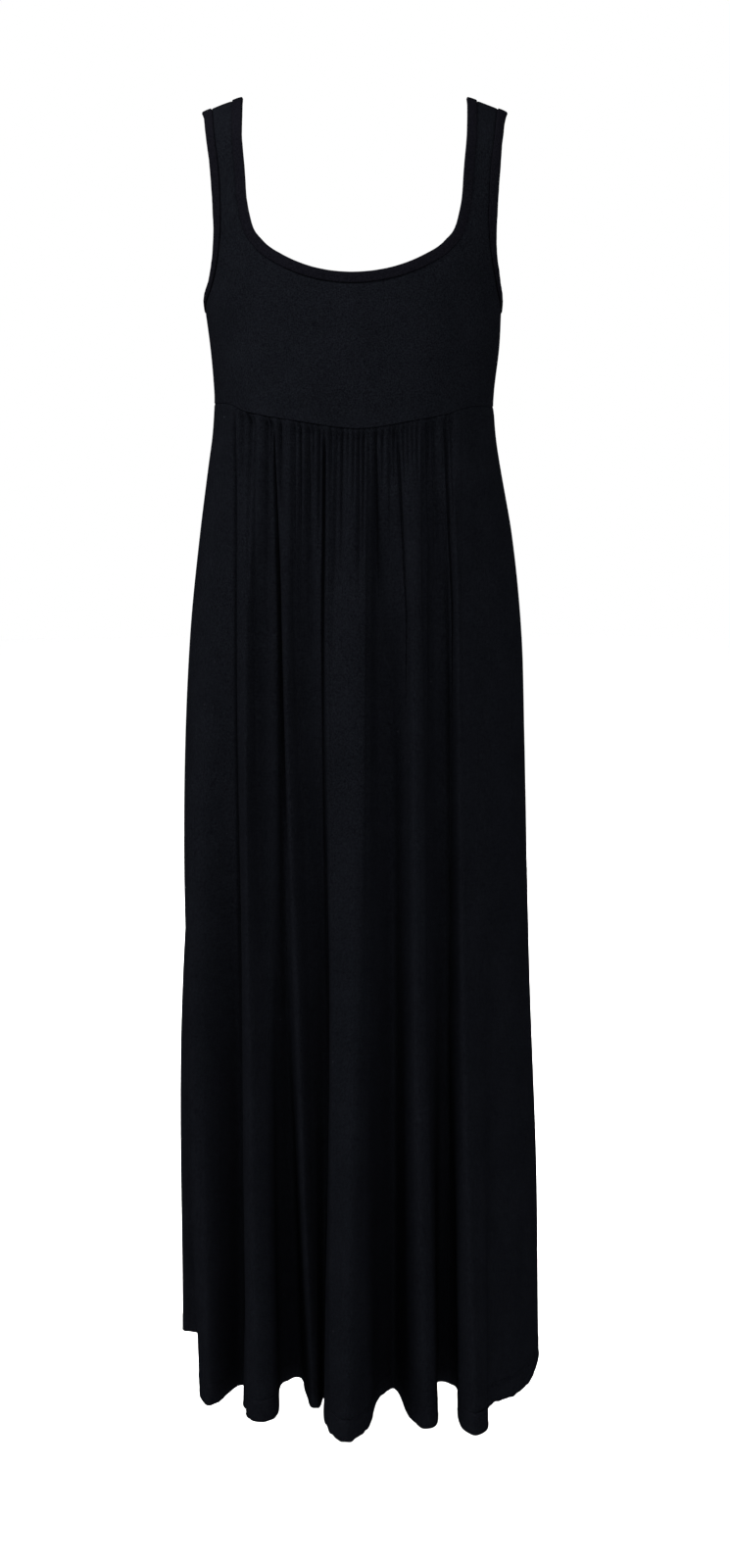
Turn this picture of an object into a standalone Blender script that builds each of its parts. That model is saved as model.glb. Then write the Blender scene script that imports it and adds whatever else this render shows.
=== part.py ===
"""Sleeveless maxi dress in jersey, hollow, in the form it takes when worn.

Metres, +Z up, front towards -Y, the wearer's left at +X. The origin lies midway
between the two shoulder straps, at the height of the shoulder line.
A bodice of two panels is bound at the neck and armholes. A long skirt of two
panels hangs from the empire seam, its front gathered between plain sides.
"""

import math
from collections import namedtuple
from functools import lru_cache

import bmesh
import bpy
from mathutils import Vector

# Cloth
WALL = 0.0012  # one layer of jersey
BAND_WALL = 0.0022  # the bands are folded double
BAND_LIFT = 0.0004  # how far a band stands proud of its panel
BAND_CROWN = 0.0003  # more at the middle of the band
SEAM_GAP = 0.0003  # between any two pieces
NECK_BAND_WIDTH = 0.0100
ARM_BAND_WIDTH = 0.0090

# Shoulder line: a parabola across, and a round of this radius from front to back
SHOULDER_FALL = 1.385  # per metre: 20 degrees of slope in the middle of a strap
SHOULDER_LEVEL_AT = 0.110  # the distance from the centre where the line has height 0
SHOULDER_ROUND = 0.060
BOXY = 0.25  # how much squarer than an ellipse the sections are
NECK_CENTRE = -0.0025
UNDERARM_HEIGHT = -0.195
UNDERARM_TURN = math.radians(9)  # to each side of the side seam, the armhole's edge
UNDERARM_RISE = 0.006  # has risen by this much
HEM_HEIGHT = -1.300

# Half widths and depths of the form that the cloth covers, by height
Section = namedtuple("Section", "height left right front back")
SECTIONS = (
    Section(0.000, 0.1900, 0.1900, 0.0920, 0.0860),
    Section(-0.050, 0.1860, 0.1860, 0.0940, 0.0900),
    Section(-0.100, 0.1720, 0.1720, 0.1020, 0.0940),
    Section(-0.140, 0.1580, 0.1570, 0.1100, 0.0950),
    Section(-0.170, 0.1515, 0.1500, 0.1160, 0.0945),
    Section(-0.195, 0.1487, 0.1454, 0.1190, 0.0930),
    Section(-0.240, 0.1432, 0.1430, 0.1230, 0.0880),
    Section(-0.280, 0.1400, 0.1385, 0.1250, 0.0840),
    Section(-0.300, 0.1403, 0.1379, 0.1250, 0.0830),
    Section(-0.340, 0.1437, 0.1422, 0.1260, 0.0860),
    Section(-0.420, 0.1550, 0.1580, 0.1290, 0.0940),
    Section(-0.520, 0.1665, 0.1690, 0.1340, 0.1060),
    Section(-0.620, 0.1720, 0.1731, 0.1390, 0.1130),
    Section(-0.760, 0.1730, 0.1775, 0.1430, 0.1180),
    Section(-0.900, 0.1700, 0.1825, 0.1470, 0.1220),
    Section(-1.100, 0.1660, 0.1930, 0.1500, 0.1270),
    Section(-1.310, 0.1640, 0.1975, 0.1520, 0.1300),
)

# Garment edges from the shoulder line down, as distance from the centre and height
Edge = namedtuple("Edge", "across height")
SHOULDER = None  # the height of the shoulder line at that distance
NECK_FRONT = (
    Edge(0.1090, SHOULDER),
    Edge(0.1066, -0.030),
    Edge(0.1036, -0.070),
    Edge(0.1010, -0.105),
    Edge(0.0962, -0.1265),
    Edge(0.0860, -0.1415),
    Edge(0.0660, -0.1555),
    Edge(0.0350, -0.1675),
    Edge(0.0000, -0.1717),
)
NECK_BACK = (
    Edge(0.1090, SHOULDER),
    Edge(0.1145, -0.030),
    Edge(0.1145, -0.070),
    Edge(0.1122, -0.105),
    Edge(0.1070, -0.1260),
    Edge(0.0960, -0.1400),
    Edge(0.0740, -0.1525),
    Edge(0.0390, -0.1625),
    Edge(0.0000, -0.1660),
)
ARM_FRONT = (
    Edge(0.1492, SHOULDER),
    Edge(0.1428, -0.0335),
    Edge(0.1383, -0.063),
    Edge(0.1350, -0.105),
    Edge(0.1353, -0.1436),
    Edge(0.1400, -0.1720),
)
ARM_BACK = (
    Edge(0.1492, SHOULDER),
    Edge(0.1475, -0.0335),
    Edge(0.1465, -0.063),
    Edge(0.1440, -0.105),
    Edge(0.1430, -0.1400),
    Edge(0.1452, -0.1700),
)

# Empire seam at the front, by distance from the centre. At the back it is straight.
SeamPoint = namedtuple("SeamPoint", "across height")
EMPIRE_FRONT = (
    SeamPoint(-0.1405, -0.2925),
    SeamPoint(-0.1220, -0.2932),
    SeamPoint(-0.1040, -0.3005),
    SeamPoint(-0.0540, -0.3093),
    SeamPoint(0.0040, -0.3162),
    SeamPoint(0.0580, -0.3085),
    SeamPoint(0.0880, -0.3028),
    SeamPoint(0.1100, -0.2962),
    SeamPoint(0.1385, -0.2955),
)

# Lines of the skirt's folds, by their place across at four heights and how far they
# stand out from the form there (less than 0 is a valley). A line runs smoothly through
# these places. `columns` is the number of mesh columns up to the next line.
FOLD_HEIGHTS = (-0.300, -0.520, -0.900, -1.300)
Fold = namedtuple("Fold", "name columns at_seam at_hip at_knee at_hem out_hip out_knee out_hem")
SIDE = None  # the side of the form at that height
FRONT_FOLDS = (
    Fold("left side seam", 2, SIDE, SIDE, SIDE, SIDE, 0.000, 0.000, 0.000),
    Fold("first flute, edge", 3, -0.1365, -0.1600, -0.1665, -0.1580, 0.012, 0.068, 0.058),
    Fold("first flute, crest", 3, -0.1265, -0.1480, -0.1520, -0.1480, 0.007, 0.026, 0.044),
    Fold("first valley", 4, -0.1170, -0.1180, -0.1170, -0.1180, -0.007, -0.032, -0.040),
    Fold("second flute, edge", 3, -0.1065, -0.1090, -0.1115, -0.1135, 0.004, -0.006, 0.013),
    Fold("second flute, crest", 4, -0.0980, -0.1045, -0.1045, -0.0990, 0.007, 0.009, 0.028),
    Fold("second flute, slope", 3, -0.0860, -0.0940, -0.0890, -0.0805, -0.006, -0.008, 0.010),
    Fold("second valley", 2, -0.0795, -0.0755, -0.0765, -0.0770, -0.006, -0.022, -0.068),
    Fold("second valley, end", 2, -0.0750, -0.0715, -0.0670, -0.0580, -0.008, -0.032, -0.088),
    Fold("third flute, edge", 4, -0.0675, -0.0680, -0.0610, -0.0500, 0.003, -0.008, -0.038),
    Fold("third flute, crest", 4, -0.0550, -0.0640, -0.0545, -0.0430, 0.006, 0.002, -0.018),
    Fold("third flute, slope", 4, -0.0420, -0.0510, -0.0430, -0.0365, -0.008, -0.016, -0.020),
    Fold("third valley", 3, -0.0310, -0.0335, -0.0295, -0.0325, -0.005, -0.026, -0.042),
    Fold("fourth flute, edge", 8, -0.0245, -0.0270, -0.0235, -0.0285, 0.003, 0.006, 0.020),
    Fold("fourth flute, crest", 4, 0.0000, 0.0010, -0.0020, -0.0080, 0.009, 0.019, 0.051),
    Fold("fourth flute, slope", 2, 0.0120, 0.0115, 0.0080, 0.0150, 0.008, 0.014, 0.016),
    Fold("fourth valley", 5, 0.0180, 0.0220, 0.0240, 0.0240, -0.010, -0.012, -0.043),
    Fold("fourth valley, end", 4, 0.0310, 0.0350, 0.0385, 0.0400, -0.010, -0.028, -0.066),
    Fold("fifth flute, edge", 5, 0.0430, 0.0480, 0.0495, 0.0557, 0.002, -0.006, 0.003),
    Fold("fifth flute, crest", 4, 0.0570, 0.0570, 0.0600, 0.0700, 0.009, 0.012, 0.027),
    Fold("fifth flute, slope", 2, 0.0670, 0.0660, 0.0710, 0.0815, 0.006, 0.008, 0.022),
    Fold("fifth valley", 2, 0.0740, 0.0760, 0.0830, 0.0865, -0.010, -0.020, -0.073),
    Fold("fifth valley, end", 3, 0.0815, 0.0875, 0.0905, 0.1030, -0.010, -0.024, -0.057),
    Fold("sixth flute, edge", 3, 0.0890, 0.0940, 0.0985, 0.1070, 0.002, -0.004, 0.034),
    Fold("sixth flute, crest", 3, 0.0970, 0.1000, 0.1065, 0.1195, 0.006, 0.013, 0.056),
    Fold("sixth flute, slope", 3, 0.1070, 0.1170, 0.1210, 0.1315, 0.001, 0.008, 0.050),
    Fold("sixth valley", 3, 0.1180, 0.1300, 0.1370, 0.1370, 0.000, -0.002, 0.003),
    Fold("seventh flute", 3, 0.1300, 0.1550, 0.1660, 0.1700, 0.000, 0.000, 0.002),
)
BACK_FOLDS = (
    Fold("right side seam", 3, SIDE, SIDE, SIDE, SIDE, 0.000, 0.000, 0.000),
    Fold("first back flute", 4, 0.1240, 0.1490, 0.1630, 0.1740, 0.002, 0.006, 0.014),
    Fold("first back valley", 3, 0.1090, 0.1310, 0.1430, 0.1510, -0.002, -0.008, -0.026),
    Fold("second back flute, edge", 3, 0.0930, 0.1130, 0.1240, 0.1330, 0.003, 0.010, 0.022),
    Fold("second back flute, slope", 4, 0.0740, 0.0880, 0.0980, 0.1030, 0.002, 0.006, 0.020),
    Fold("second back valley", 3, 0.0570, 0.0660, 0.0730, 0.0760, -0.004, -0.020, -0.052),
    Fold("third back flute", 4, 0.0420, 0.0500, 0.0530, 0.0540, 0.003, 0.014, 0.036),
    Fold("third back valley", 3, 0.0250, 0.0290, 0.0310, 0.0300, -0.001, -0.005, -0.018),
    Fold("fourth back flute, edge", 3, 0.0100, 0.0120, 0.0120, 0.0100, 0.003, 0.013, 0.026),
    Fold("fourth back flute, slope", 4, -0.0110, -0.0130, -0.0130, -0.0160, 0.003, 0.011, 0.030),
    Fold("fourth back valley", 3, -0.0320, -0.0380, -0.0410, -0.0430, -0.004, -0.021, -0.056),
    Fold("fifth back flute", 4, -0.0490, -0.0590, -0.0640, -0.0620, 0.003, 0.013, 0.030),
    Fold("fifth back flute, slope", 3, -0.0670, -0.0810, -0.0870, -0.0890, 0.001, 0.003, 0.016),
    Fold("fifth back valley", 3, -0.0820, -0.0980, -0.1070, -0.1090, -0.003, -0.014, -0.036),
    Fold("sixth back flute", 3, -0.0970, -0.1150, -0.1260, -0.1290, 0.001, 0.004, 0.012),
    Fold("sixth back valley", 3, -0.1080, -0.1290, -0.1470, -0.1530, -0.001, 0.004, 0.014),
    Fold("left back flute, back", 3, -0.1190, -0.1410, -0.1700, -0.1760, 0.000, 0.068, 0.086),
    Fold("left back flute", 3, -0.1290, -0.1520, -0.1850, -0.1915, 0.002, 0.044, 0.058),
    Fold("left back flute, front", 2, -0.1365, -0.1605, -0.1735, -0.1730, 0.000, 0.026, 0.048),
)

# Gathers: two mesh columns each, between the first valley and the sixth crest
GATHERS_START = "first valley"
GATHERS_END = "sixth flute, crest"
GATHER_DEPTH = 0.0016  # from the middle of the cloth to a crest
GATHER_AT_SEAM = 0.25  # share of that depth which is left at the seam itself
GATHER_RISE = 0.010  # below the seam, where the gathers reach their whole depth
GATHER_SHORTEST = 0.035
GATHER_LONGEST = 0.110
# Rows of the skirt's mesh, by distance below the empire seam; the last row is the hem
SKIRT_ROWS = (0, 0.006, 0.015, 0.029, 0.050, 0.082, 0.128, 0.190, 0.270, 0.360, 0.460,
              0.570, 0.680, 0.790, 0.900)
FORM_HOLD = 0.060  # over this height below the seam the skirt leaves the form

# Numbers of mesh cells in the bodice panels
STRAP_COLUMNS = 8
CENTRE_COLUMNS = 14
SIDE_ROWS = 5
ARM_ROWS = 6  # from the underarm to the neckline's corner
STRAP_ROWS = 10
NECK_CORNER = 0.66  # share of the half neckline from the shoulder to that corner
CENTRE_FOOT = 0.080  # where the lines below the neckline's corners meet the empire seam
CURVE_STEPS = 24  # between two points of a garment edge
SEAM_STEPS = 160  # along the empire seam, before it is divided into columns
SIDE_COLUMN = 0.08  # width of the skirt's columns at the side seams, as a share of a fold

# Working
SETTLE_ROUNDS = 12  # rounds in which a place and its height are brought to agree
PROBE = 0.0001  # radians or metres, to either of the torso's directions
PROBE_SHARE = 0.02  # of the way from one fold line to the next
MERGE_DISTANCE = 0.00001
TINY = 1e-12
GOLDEN = (math.sqrt(5) - 1) / 2

JERSEY = (0.0078, 0.0080, 0.0108, 1.0)
COLLECTION = "maxi dress"


def smooth(keys, values, at):
    """A cubic curve through the values, with slopes taken from their neighbours."""
    if keys[0] > keys[-1]:
        keys, values = keys[::-1], values[::-1]
    at = min(max(at, keys[0]), keys[-1])
    last = len(keys) - 1
    low = max(i for i in range(last) if keys[i] <= at)

    def slope(i):
        before, after = max(i - 1, 0), min(i + 1, last)
        return (values[after] - values[before]) / (keys[after] - keys[before])

    span = keys[low + 1] - keys[low]
    t = (at - keys[low]) / span
    return (
        (1 + 2 * t) * (1 - t) ** 2 * values[low]
        + t * (1 - t) ** 2 * span * slope(low)
        + t * t * (3 - 2 * t) * values[low + 1]
        - t * t * (1 - t) * span * slope(low + 1)
    )


def column(rows, name):
    return [getattr(row, name) for row in rows]


def form(height, name):
    """A half width or depth of the form at this height."""
    return smooth(column(SECTIONS, "height"), column(SECTIONS, name), height)


def half_width(x, height):
    return form(height, "right" if x > 0 else "left")


def form_depth(x, height, back):
    """How far the form stands behind or in front of the side seams, at this place across."""
    share = min(abs(x) / half_width(x, height), 1)
    depth = form(height, "back" if back else "front")
    return depth * math.sqrt(1 - share * share) * (1 + BOXY * share * share)


# The bodice's cloth is laid out by an angle round the body (0 in front, 90 degrees at
# the wearer's left) and a length down from the shoulder line.


def shoulder_height(x):
    return -SHOULDER_FALL * (x * x - SHOULDER_LEVEL_AT**2)


def drop_of(down):
    quarter = SHOULDER_ROUND * math.pi / 2
    if down < quarter:
        return SHOULDER_ROUND * (1 - math.cos(down / SHOULDER_ROUND))
    return SHOULDER_ROUND + down - quarter


def down_of(drop):
    if drop < SHOULDER_ROUND:
        return SHOULDER_ROUND * math.acos(1 - max(drop, 0) / SHOULDER_ROUND)
    return drop + SHOULDER_ROUND * (math.pi / 2 - 1)


def on_torso(angle, down):
    """The point of the bodice at this angle and length down."""
    height = -down
    for _ in range(SETTLE_ROUNDS):
        x = half_width(math.sin(angle), height) * math.sin(angle)
        height = shoulder_height(x) - drop_of(down)
    depth = form(height, "front" if math.cos(angle) > 0 else "back")
    depth *= math.cos(angle) * (1 + BOXY * math.sin(angle) ** 2)
    if down < SHOULDER_ROUND * math.pi / 2:
        depth *= math.sin(down / SHOULDER_ROUND)
    return Vector((x, -depth, height))


def laid_out(x, height, back):
    """The angle and length down of a point of the bodice."""
    down = down_of(shoulder_height(x) - height)
    angle = math.asin(max(-1, min(1, x / half_width(x, height))))
    return Vector((math.pi - angle if back else angle, down))


def directions(spot):
    """The torso's directions per unit of angle and of length, and its outward normal."""
    angle, down = spot
    here = on_torso(angle, down)
    along_angle = (on_torso(angle + PROBE, down) - here) / PROBE
    along_down = (on_torso(angle, down + PROBE) - here) / PROBE
    return along_angle, along_down, along_down.cross(along_angle).normalized()


def slide(spot, direction, distance):
    """The spot moved by this distance along a direction that lies in the surface."""
    along_angle, along_down, _ = directions(spot)
    aa, ad, dd = along_angle.dot(along_angle), along_angle.dot(along_down), along_down.dot(along_down)
    ta, td = direction.dot(along_angle), direction.dot(along_down)
    share = distance / (aa * dd - ad * ad)
    return spot + Vector(((ta * dd - td * ad) * share, (td * aa - ta * ad) * share))


def curve_through(points, index, t):
    """Centripetal Catmull-Rom curve through the points, from points[index] to the next."""
    last = len(points) - 1
    p1, p2 = points[index], points[index + 1]
    p0 = points[index - 1] if index > 0 else 2 * p1 - p2
    p3 = points[index + 2] if index + 2 <= last else 2 * p2 - p1
    return between(p0, p1, p2, p3, t)


def between(p0, p1, p2, p3, t):
    k0 = 0
    k1 = k0 + (p1 - p0).length ** 0.5
    k2 = k1 + (p2 - p1).length ** 0.5
    k3 = k2 + (p3 - p2).length ** 0.5
    k = k1 + t * (k2 - k1)
    a1 = p0 * ((k1 - k) / (k1 - k0)) + p1 * ((k - k0) / (k1 - k0))
    a2 = p1 * ((k2 - k) / (k2 - k1)) + p2 * ((k - k1) / (k2 - k1))
    a3 = p2 * ((k3 - k) / (k3 - k2)) + p3 * ((k - k2) / (k3 - k2))
    b1 = a1 * ((k2 - k) / (k2 - k0)) + a2 * ((k - k0) / (k2 - k0))
    b2 = a2 * ((k3 - k) / (k3 - k1)) + a3 * ((k - k1) / (k3 - k1))
    return b1 * ((k2 - k) / (k2 - k1)) + b2 * ((k - k1) / (k2 - k1))


def dense(corners):
    """Many spots on a smooth curve through a few, CURVE_STEPS from one to the next."""
    spots = []
    for index in range(len(corners) - 1):
        spots += [curve_through(corners, index, step / CURVE_STEPS) for step in range(CURVE_STEPS)]
    return spots + [corners[-1]]


def evenly(spots, count, start=0.0, end=1.0):
    """count + 1 spots at equal distances, between two shares of the curve's real length."""
    lengths = [0.0]
    places = [on_torso(*spot) for spot in spots]
    for here, there in zip(places, places[1:]):
        lengths.append(lengths[-1] + (there - here).length)
    out = []
    for step in range(count + 1):
        aim = lengths[-1] * (start + (end - start) * step / count)
        i = min(max(k for k in range(len(lengths)) if lengths[k] <= aim + TINY), len(spots) - 2)
        t = (aim - lengths[i]) / (lengths[i + 1] - lengths[i])
        out.append(spots[i].lerp(spots[i + 1], t))
    return out


def edge_spots(edges, sign, back, centre=0.0):
    """A garment edge laid out, from the shoulder down, on one side of the body."""
    spots = []
    for edge in edges:
        x = sign * edge.across + centre * (1 - edge.across / edges[0].across)
        height = shoulder_height(x) if edge.height is SHOULDER else edge.height
        spots.append(laid_out(x, height, back))
    return spots


def full_turn(spots, turns):
    return [Vector((spot[0] + turns * 2 * math.pi, spot[1])) for spot in spots]


def neck_half(edges, back):
    """The whole neck edge of one panel, in the direction of a growing angle."""
    left = edge_spots(edges, -1, back, NECK_CENTRE)
    right = edge_spots(edges, 1, back, NECK_CENTRE)
    left[-1] = right[-1] = laid_out(NECK_CENTRE, edges[-1].height, back)
    if back:
        return right + [at_left_back(spot) for spot in left[-2::-1]]
    return left + right[-2::-1]


def at_left_back(spot):
    """Angles at the back run on from 90 degrees to 270."""
    return Vector((spot[0] % (2 * math.pi), spot[1]))


def arm_edge(sign, rows):
    """An armhole's edge in two runs of even spots, from the shoulders to the underarm."""
    front = edge_spots(ARM_FRONT, sign, False)
    back = edge_spots(ARM_BACK, sign, True)
    if sign < 0:
        back = full_turn([at_left_back(spot) for spot in back], -1)
    under = []
    for turn, rise in ((-UNDERARM_TURN, UNDERARM_RISE), (0, 0), (UNDERARM_TURN, UNDERARM_RISE)):
        height = UNDERARM_HEIGHT + rise
        x = half_width(sign, height) * math.cos(turn)
        under.append(Vector((sign * (math.pi / 2 + turn), down_of(shoulder_height(x) - height))))
    whole = dense(front + under + back[::-1])
    middle = (len(front) + 1) * CURVE_STEPS
    return evenly(whole[: middle + 1], rows), evenly(whole[: middle - 1 : -1], rows)


def loop_directions(spots):
    """The direction into the cloth at each spot of a closed edge."""
    places = [on_torso(*spot) for spot in spots]
    inward = []
    for i, spot in enumerate(spots):
        along = (places[(i + 1) % len(places)] - places[i - 1]).normalized()
        inward.append(along.cross(directions(spot)[2]).normalized())
    return inward


def inset(spots, inward, distance):
    return [slide(spot, way, distance) for spot, way in zip(spots, inward)]


def empire_height(x, back):
    rows = EMPIRE_FRONT
    if back:
        left, right = rows[0], rows[-1]
        share = (x - left.across) / (right.across - left.across)
        return left.height + (right.height - left.height) * min(max(share, 0), 1)
    return smooth(column(rows, "across"), column(rows, "height"), x)


def empire_spot(angle, back):
    x = form(EMPIRE_FRONT[0].height, "left") * math.sin(angle)
    for _ in range(SETTLE_ROUNDS):
        height = empire_height(x, back)
        x = half_width(x, height) * math.sin(angle)
    return Vector((angle, laid_out(x, height, back)[1]))


def empire_seam(back):
    """A bodice panel's lower edge from side seam to side seam, a spot for each column."""
    turn = math.pi if back else 0
    gap = SEAM_GAP / 2 / (form(UNDERARM_HEIGHT, "front") * (1 + BOXY))
    foot = math.asin(CENTRE_FOOT / form(EMPIRE_FRONT[0].height, "left"))
    stops = (gap - math.pi / 2, -foot, foot, math.pi / 2 - gap)
    seam = []
    for start, end, count in zip(stops, stops[1:], (STRAP_COLUMNS, CENTRE_COLUMNS, STRAP_COLUMNS)):
        angles = [turn + start + (end - start) * i / SEAM_STEPS for i in range(SEAM_STEPS + 1)]
        run = evenly([empire_spot(angle, back) for angle in angles], count)
        seam += run[1:] if seam else run
    return seam


def seam_height(places, x):
    """The height of a bodice panel's lower edge, straight from column to column."""
    for here, there in zip(places, places[1:]):
        if x <= there.x or there is places[-1]:
            return here.z + (there.z - here.z) * (x - here.x) / (there.x - here.x)


def coons(bottom, top, left, right):
    """A grid of spots between four edges; its rows run from the bottom to the top."""
    columns, rows = len(bottom) - 1, len(left) - 1
    grid = []
    for j in range(rows + 1):
        v = j / rows
        row = []
        for i in range(columns + 1):
            u = i / columns
            corners = (bottom[0] * (1 - u) + bottom[-1] * u) * (1 - v)
            corners += (top[0] * (1 - u) + top[-1] * u) * v
            row.append(bottom[i] * (1 - v) + top[i] * v + left[j] * (1 - u) + right[j] * u - corners)
        grid.append(row)
    return grid


def straight(start, end, count):
    return [start.lerp(end, i / count) for i in range(count + 1)]


def add_grid(mesh, rows, closed=False):
    """Quads between rows of points, facing out where the rows run up and anticlockwise."""
    verts = [[mesh.verts.new(point) for point in row] for row in rows]
    for low, high in zip(verts, verts[1:]):
        ends = range(len(low) if closed else len(low) - 1)
        for i in ends:
            after = (i + 1) % len(low)
            mesh.faces.new((low[i], low[after], high[after], high[i]))


def make_object(name, mesh, wall):
    """A cloth object from an open surface, its wall laid on the inner side."""
    bmesh.ops.remove_doubles(mesh, verts=mesh.verts, dist=MERGE_DISTANCE)
    data = bpy.data.meshes.new(name)
    mesh.to_mesh(data)
    mesh.free()
    data.shade_smooth()
    data.materials.append(jersey(name))
    obj = bpy.data.objects.new(name, data)
    bpy.data.collections[COLLECTION].objects.link(obj)
    solidify = obj.modifiers.new("wall", "SOLIDIFY")
    solidify.thickness = wall
    solidify.offset = -1
    solidify.use_even_offset = True
    return obj


def jersey(name):
    material = bpy.data.materials.new(f"{name} jersey")
    material.use_nodes = True
    shader = material.node_tree.nodes["Principled BSDF"]
    shader.inputs["Base Color"].default_value = JERSEY
    shader.inputs["Roughness"].default_value = 0.9
    shader.inputs["Metallic"].default_value = 0.0
    return material


class Openings:
    """The three bound edges, each as a closed run of evenly spaced spots."""

    def __init__(self):
        corner = NECK_CORNER / 2
        neck = []
        for edges, back in ((NECK_FRONT, False), (NECK_BACK, True)):
            whole = dense(neck_half(edges, back))
            down = evenly(whole, STRAP_ROWS, 0, corner)
            across = evenly(whole, CENTRE_COLUMNS, corner, 1 - corner)
            up = evenly(whole, STRAP_ROWS, 1 - corner, 1)
            neck.append(down + across[1:] + up[1:])
        # The shoulder is the first spot of each half, so each half gives up its last one
        self.neck = neck[0][:-1] + neck[1][:-1]
        self.neck_front_count = len(neck[0])

        self.arms = {}
        rows = ARM_ROWS + STRAP_ROWS
        for sign in (1, -1):
            front, back = arm_edge(sign, rows)
            first, second = (front, back) if sign > 0 else (back, front)
            self.arms[sign] = first + second[-2:0:-1]
        self.neck_inward = loop_directions(self.neck)
        self.arm_inward = {sign: loop_directions(loop) for sign, loop in self.arms.items()}

    def neck_seam(self, back):
        """The neck edge of a panel, where its band is sewn on, from shoulder to shoulder."""
        spots = inset(self.neck, self.neck_inward, NECK_BAND_WIDTH + SEAM_GAP)
        count = self.neck_front_count
        if back:
            return spots[count - 1 :] + [mirror_over(spots[0])]
        return spots[: count - 1] + [mirror_over(spots[count - 1])]

    def arm_seam(self, sign, back):
        """The armhole edge of a panel, from the side seam up to the shoulder."""
        spots = inset(self.arms[sign], self.arm_inward[sign], ARM_BAND_WIDTH + SEAM_GAP)
        half = ARM_ROWS + STRAP_ROWS
        if sign > 0:
            front, rear = spots[: half + 1], spots[half:] + [mirror_over(spots[0])]
            return rear if back else front[::-1]
        rear, front = spots[: half + 1], spots[half:] + full_turn([mirror_over(spots[0])], -1)
        return full_turn(rear, 1)[::-1] if back else front


def mirror_over(spot):
    """A spot at the shoulder line as the other panel names it."""
    return Vector((math.pi - spot[0], -spot[1]))


def bodice_panel(name, openings, back):
    """One panel in five blocks: below and beside the neckline's two corners, and the straps."""
    neck = openings.neck_seam(back)
    first, second = (1, -1) if back else (-1, 1)
    arm_first, arm_second = openings.arm_seam(first, back), openings.arm_seam(second, back)
    shoulder = SEAM_GAP / 2
    neck[0] = Vector((neck[0][0], shoulder))
    neck[-1] = Vector((neck[-1][0], shoulder))
    arm_first[-1] = Vector((arm_first[-1][0], shoulder))
    arm_second[-1] = Vector((arm_second[-1][0], shoulder))

    rows = SIDE_ROWS + ARM_ROWS
    corner_first, corner_second = neck[STRAP_ROWS], neck[-1 - STRAP_ROWS]
    seam = empire_seam(back)
    seam_first = seam[: STRAP_COLUMNS + 1]
    seam_centre = seam[STRAP_COLUMNS : -STRAP_COLUMNS]
    seam_second = seam[-1 - STRAP_COLUMNS :]

    arm_first[0] = Vector((seam[0][0], arm_first[0][1]))
    arm_second[0] = Vector((seam[-1][0], arm_second[0][1]))
    edge_first = straight(seam_first[0], arm_first[0], SIDE_ROWS) + arm_first[1:]
    edge_second = straight(seam_second[-1], arm_second[0], SIDE_ROWS) + arm_second[1:]
    inner_first = straight(seam_first[-1], corner_first, rows)
    inner_second = straight(seam_second[0], corner_second, rows)
    across_first = straight(edge_first[rows], corner_first, STRAP_COLUMNS)
    across_second = straight(corner_second, edge_second[rows], STRAP_COLUMNS)
    top_first = straight(arm_first[-1], neck[0], STRAP_COLUMNS)
    top_second = straight(neck[-1], arm_second[-1], STRAP_COLUMNS)

    blocks = (
        coons(seam_first, across_first, edge_first[: rows + 1], inner_first),
        coons(seam_centre, neck[STRAP_ROWS : STRAP_ROWS + CENTRE_COLUMNS + 1], inner_first, inner_second),
        coons(seam_second, across_second, inner_second, edge_second[: rows + 1]),
        coons(across_first, top_first, edge_first[rows:], neck[STRAP_ROWS::-1]),
        coons(across_second, top_second, neck[-1 - STRAP_ROWS :], edge_second[rows:]),
    )
    mesh = bmesh.new()
    for grid in blocks:
        add_grid(mesh, [[on_torso(*spot) for spot in row] for row in grid])
    return make_object(name, mesh, WALL)


def band(name, loop, inward, width):
    """A closed binding round an opening, crowned along its middle."""
    rows = []
    for share, crown in ((1, 0), (0.5, BAND_CROWN), (0, 0)):
        row = []
        for spot in inset(loop, inward, width * share):
            row.append(on_torso(*spot) + directions(spot)[2] * (BAND_LIFT + crown))
        rows.append(row)
    mesh = bmesh.new()
    add_grid(mesh, rows, closed=True)
    return make_object(name, mesh, BAND_WALL)


@lru_cache(maxsize=None)
def fold_depths(fold, back):
    """How far a fold's line is from the side seams, to the front or back, at its heights."""
    across = (fold.at_seam, fold.at_hip, fold.at_knee, fold.at_hem)
    outs = (0.0, fold.out_hip, fold.out_knee, fold.out_hem)
    return [form_depth(x, height, back) + out for x, height, out in zip(across, FOLD_HEIGHTS, outs)]


def fold_line(fold, height, back):
    """Where a fold's line is at this height, on a smooth curve through its places."""
    if fold.at_seam is SIDE:
        x = form(height, "right") if back else -form(height, "left")
        return Vector((x, 0.0))
    x = smooth(FOLD_HEIGHTS, (fold.at_seam, fold.at_hip, fold.at_knee, fold.at_hem), height)
    y = smooth(FOLD_HEIGHTS, fold_depths(fold, back), height)
    return Vector((x, y if back else -y))


FOLD_RING = [(fold, False) for fold in FRONT_FOLDS] + [(fold, True) for fold in BACK_FOLDS]


def on_form(place, height):
    """The form's own point in the direction of this place, seen from above."""
    width = half_width(place.x, height)
    depth = form(height, "back" if place.y > 0 else "front")
    angle = math.atan2(place.x, -place.y)
    for _ in range(SETTLE_ROUNDS):
        angle = math.atan2(place.x / width, -place.y / depth / (1 + BOXY * math.sin(angle) ** 2))
    y = -depth * math.cos(angle) * (1 + BOXY * math.sin(angle) ** 2)
    return Vector((width * math.sin(angle), y))


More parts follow.
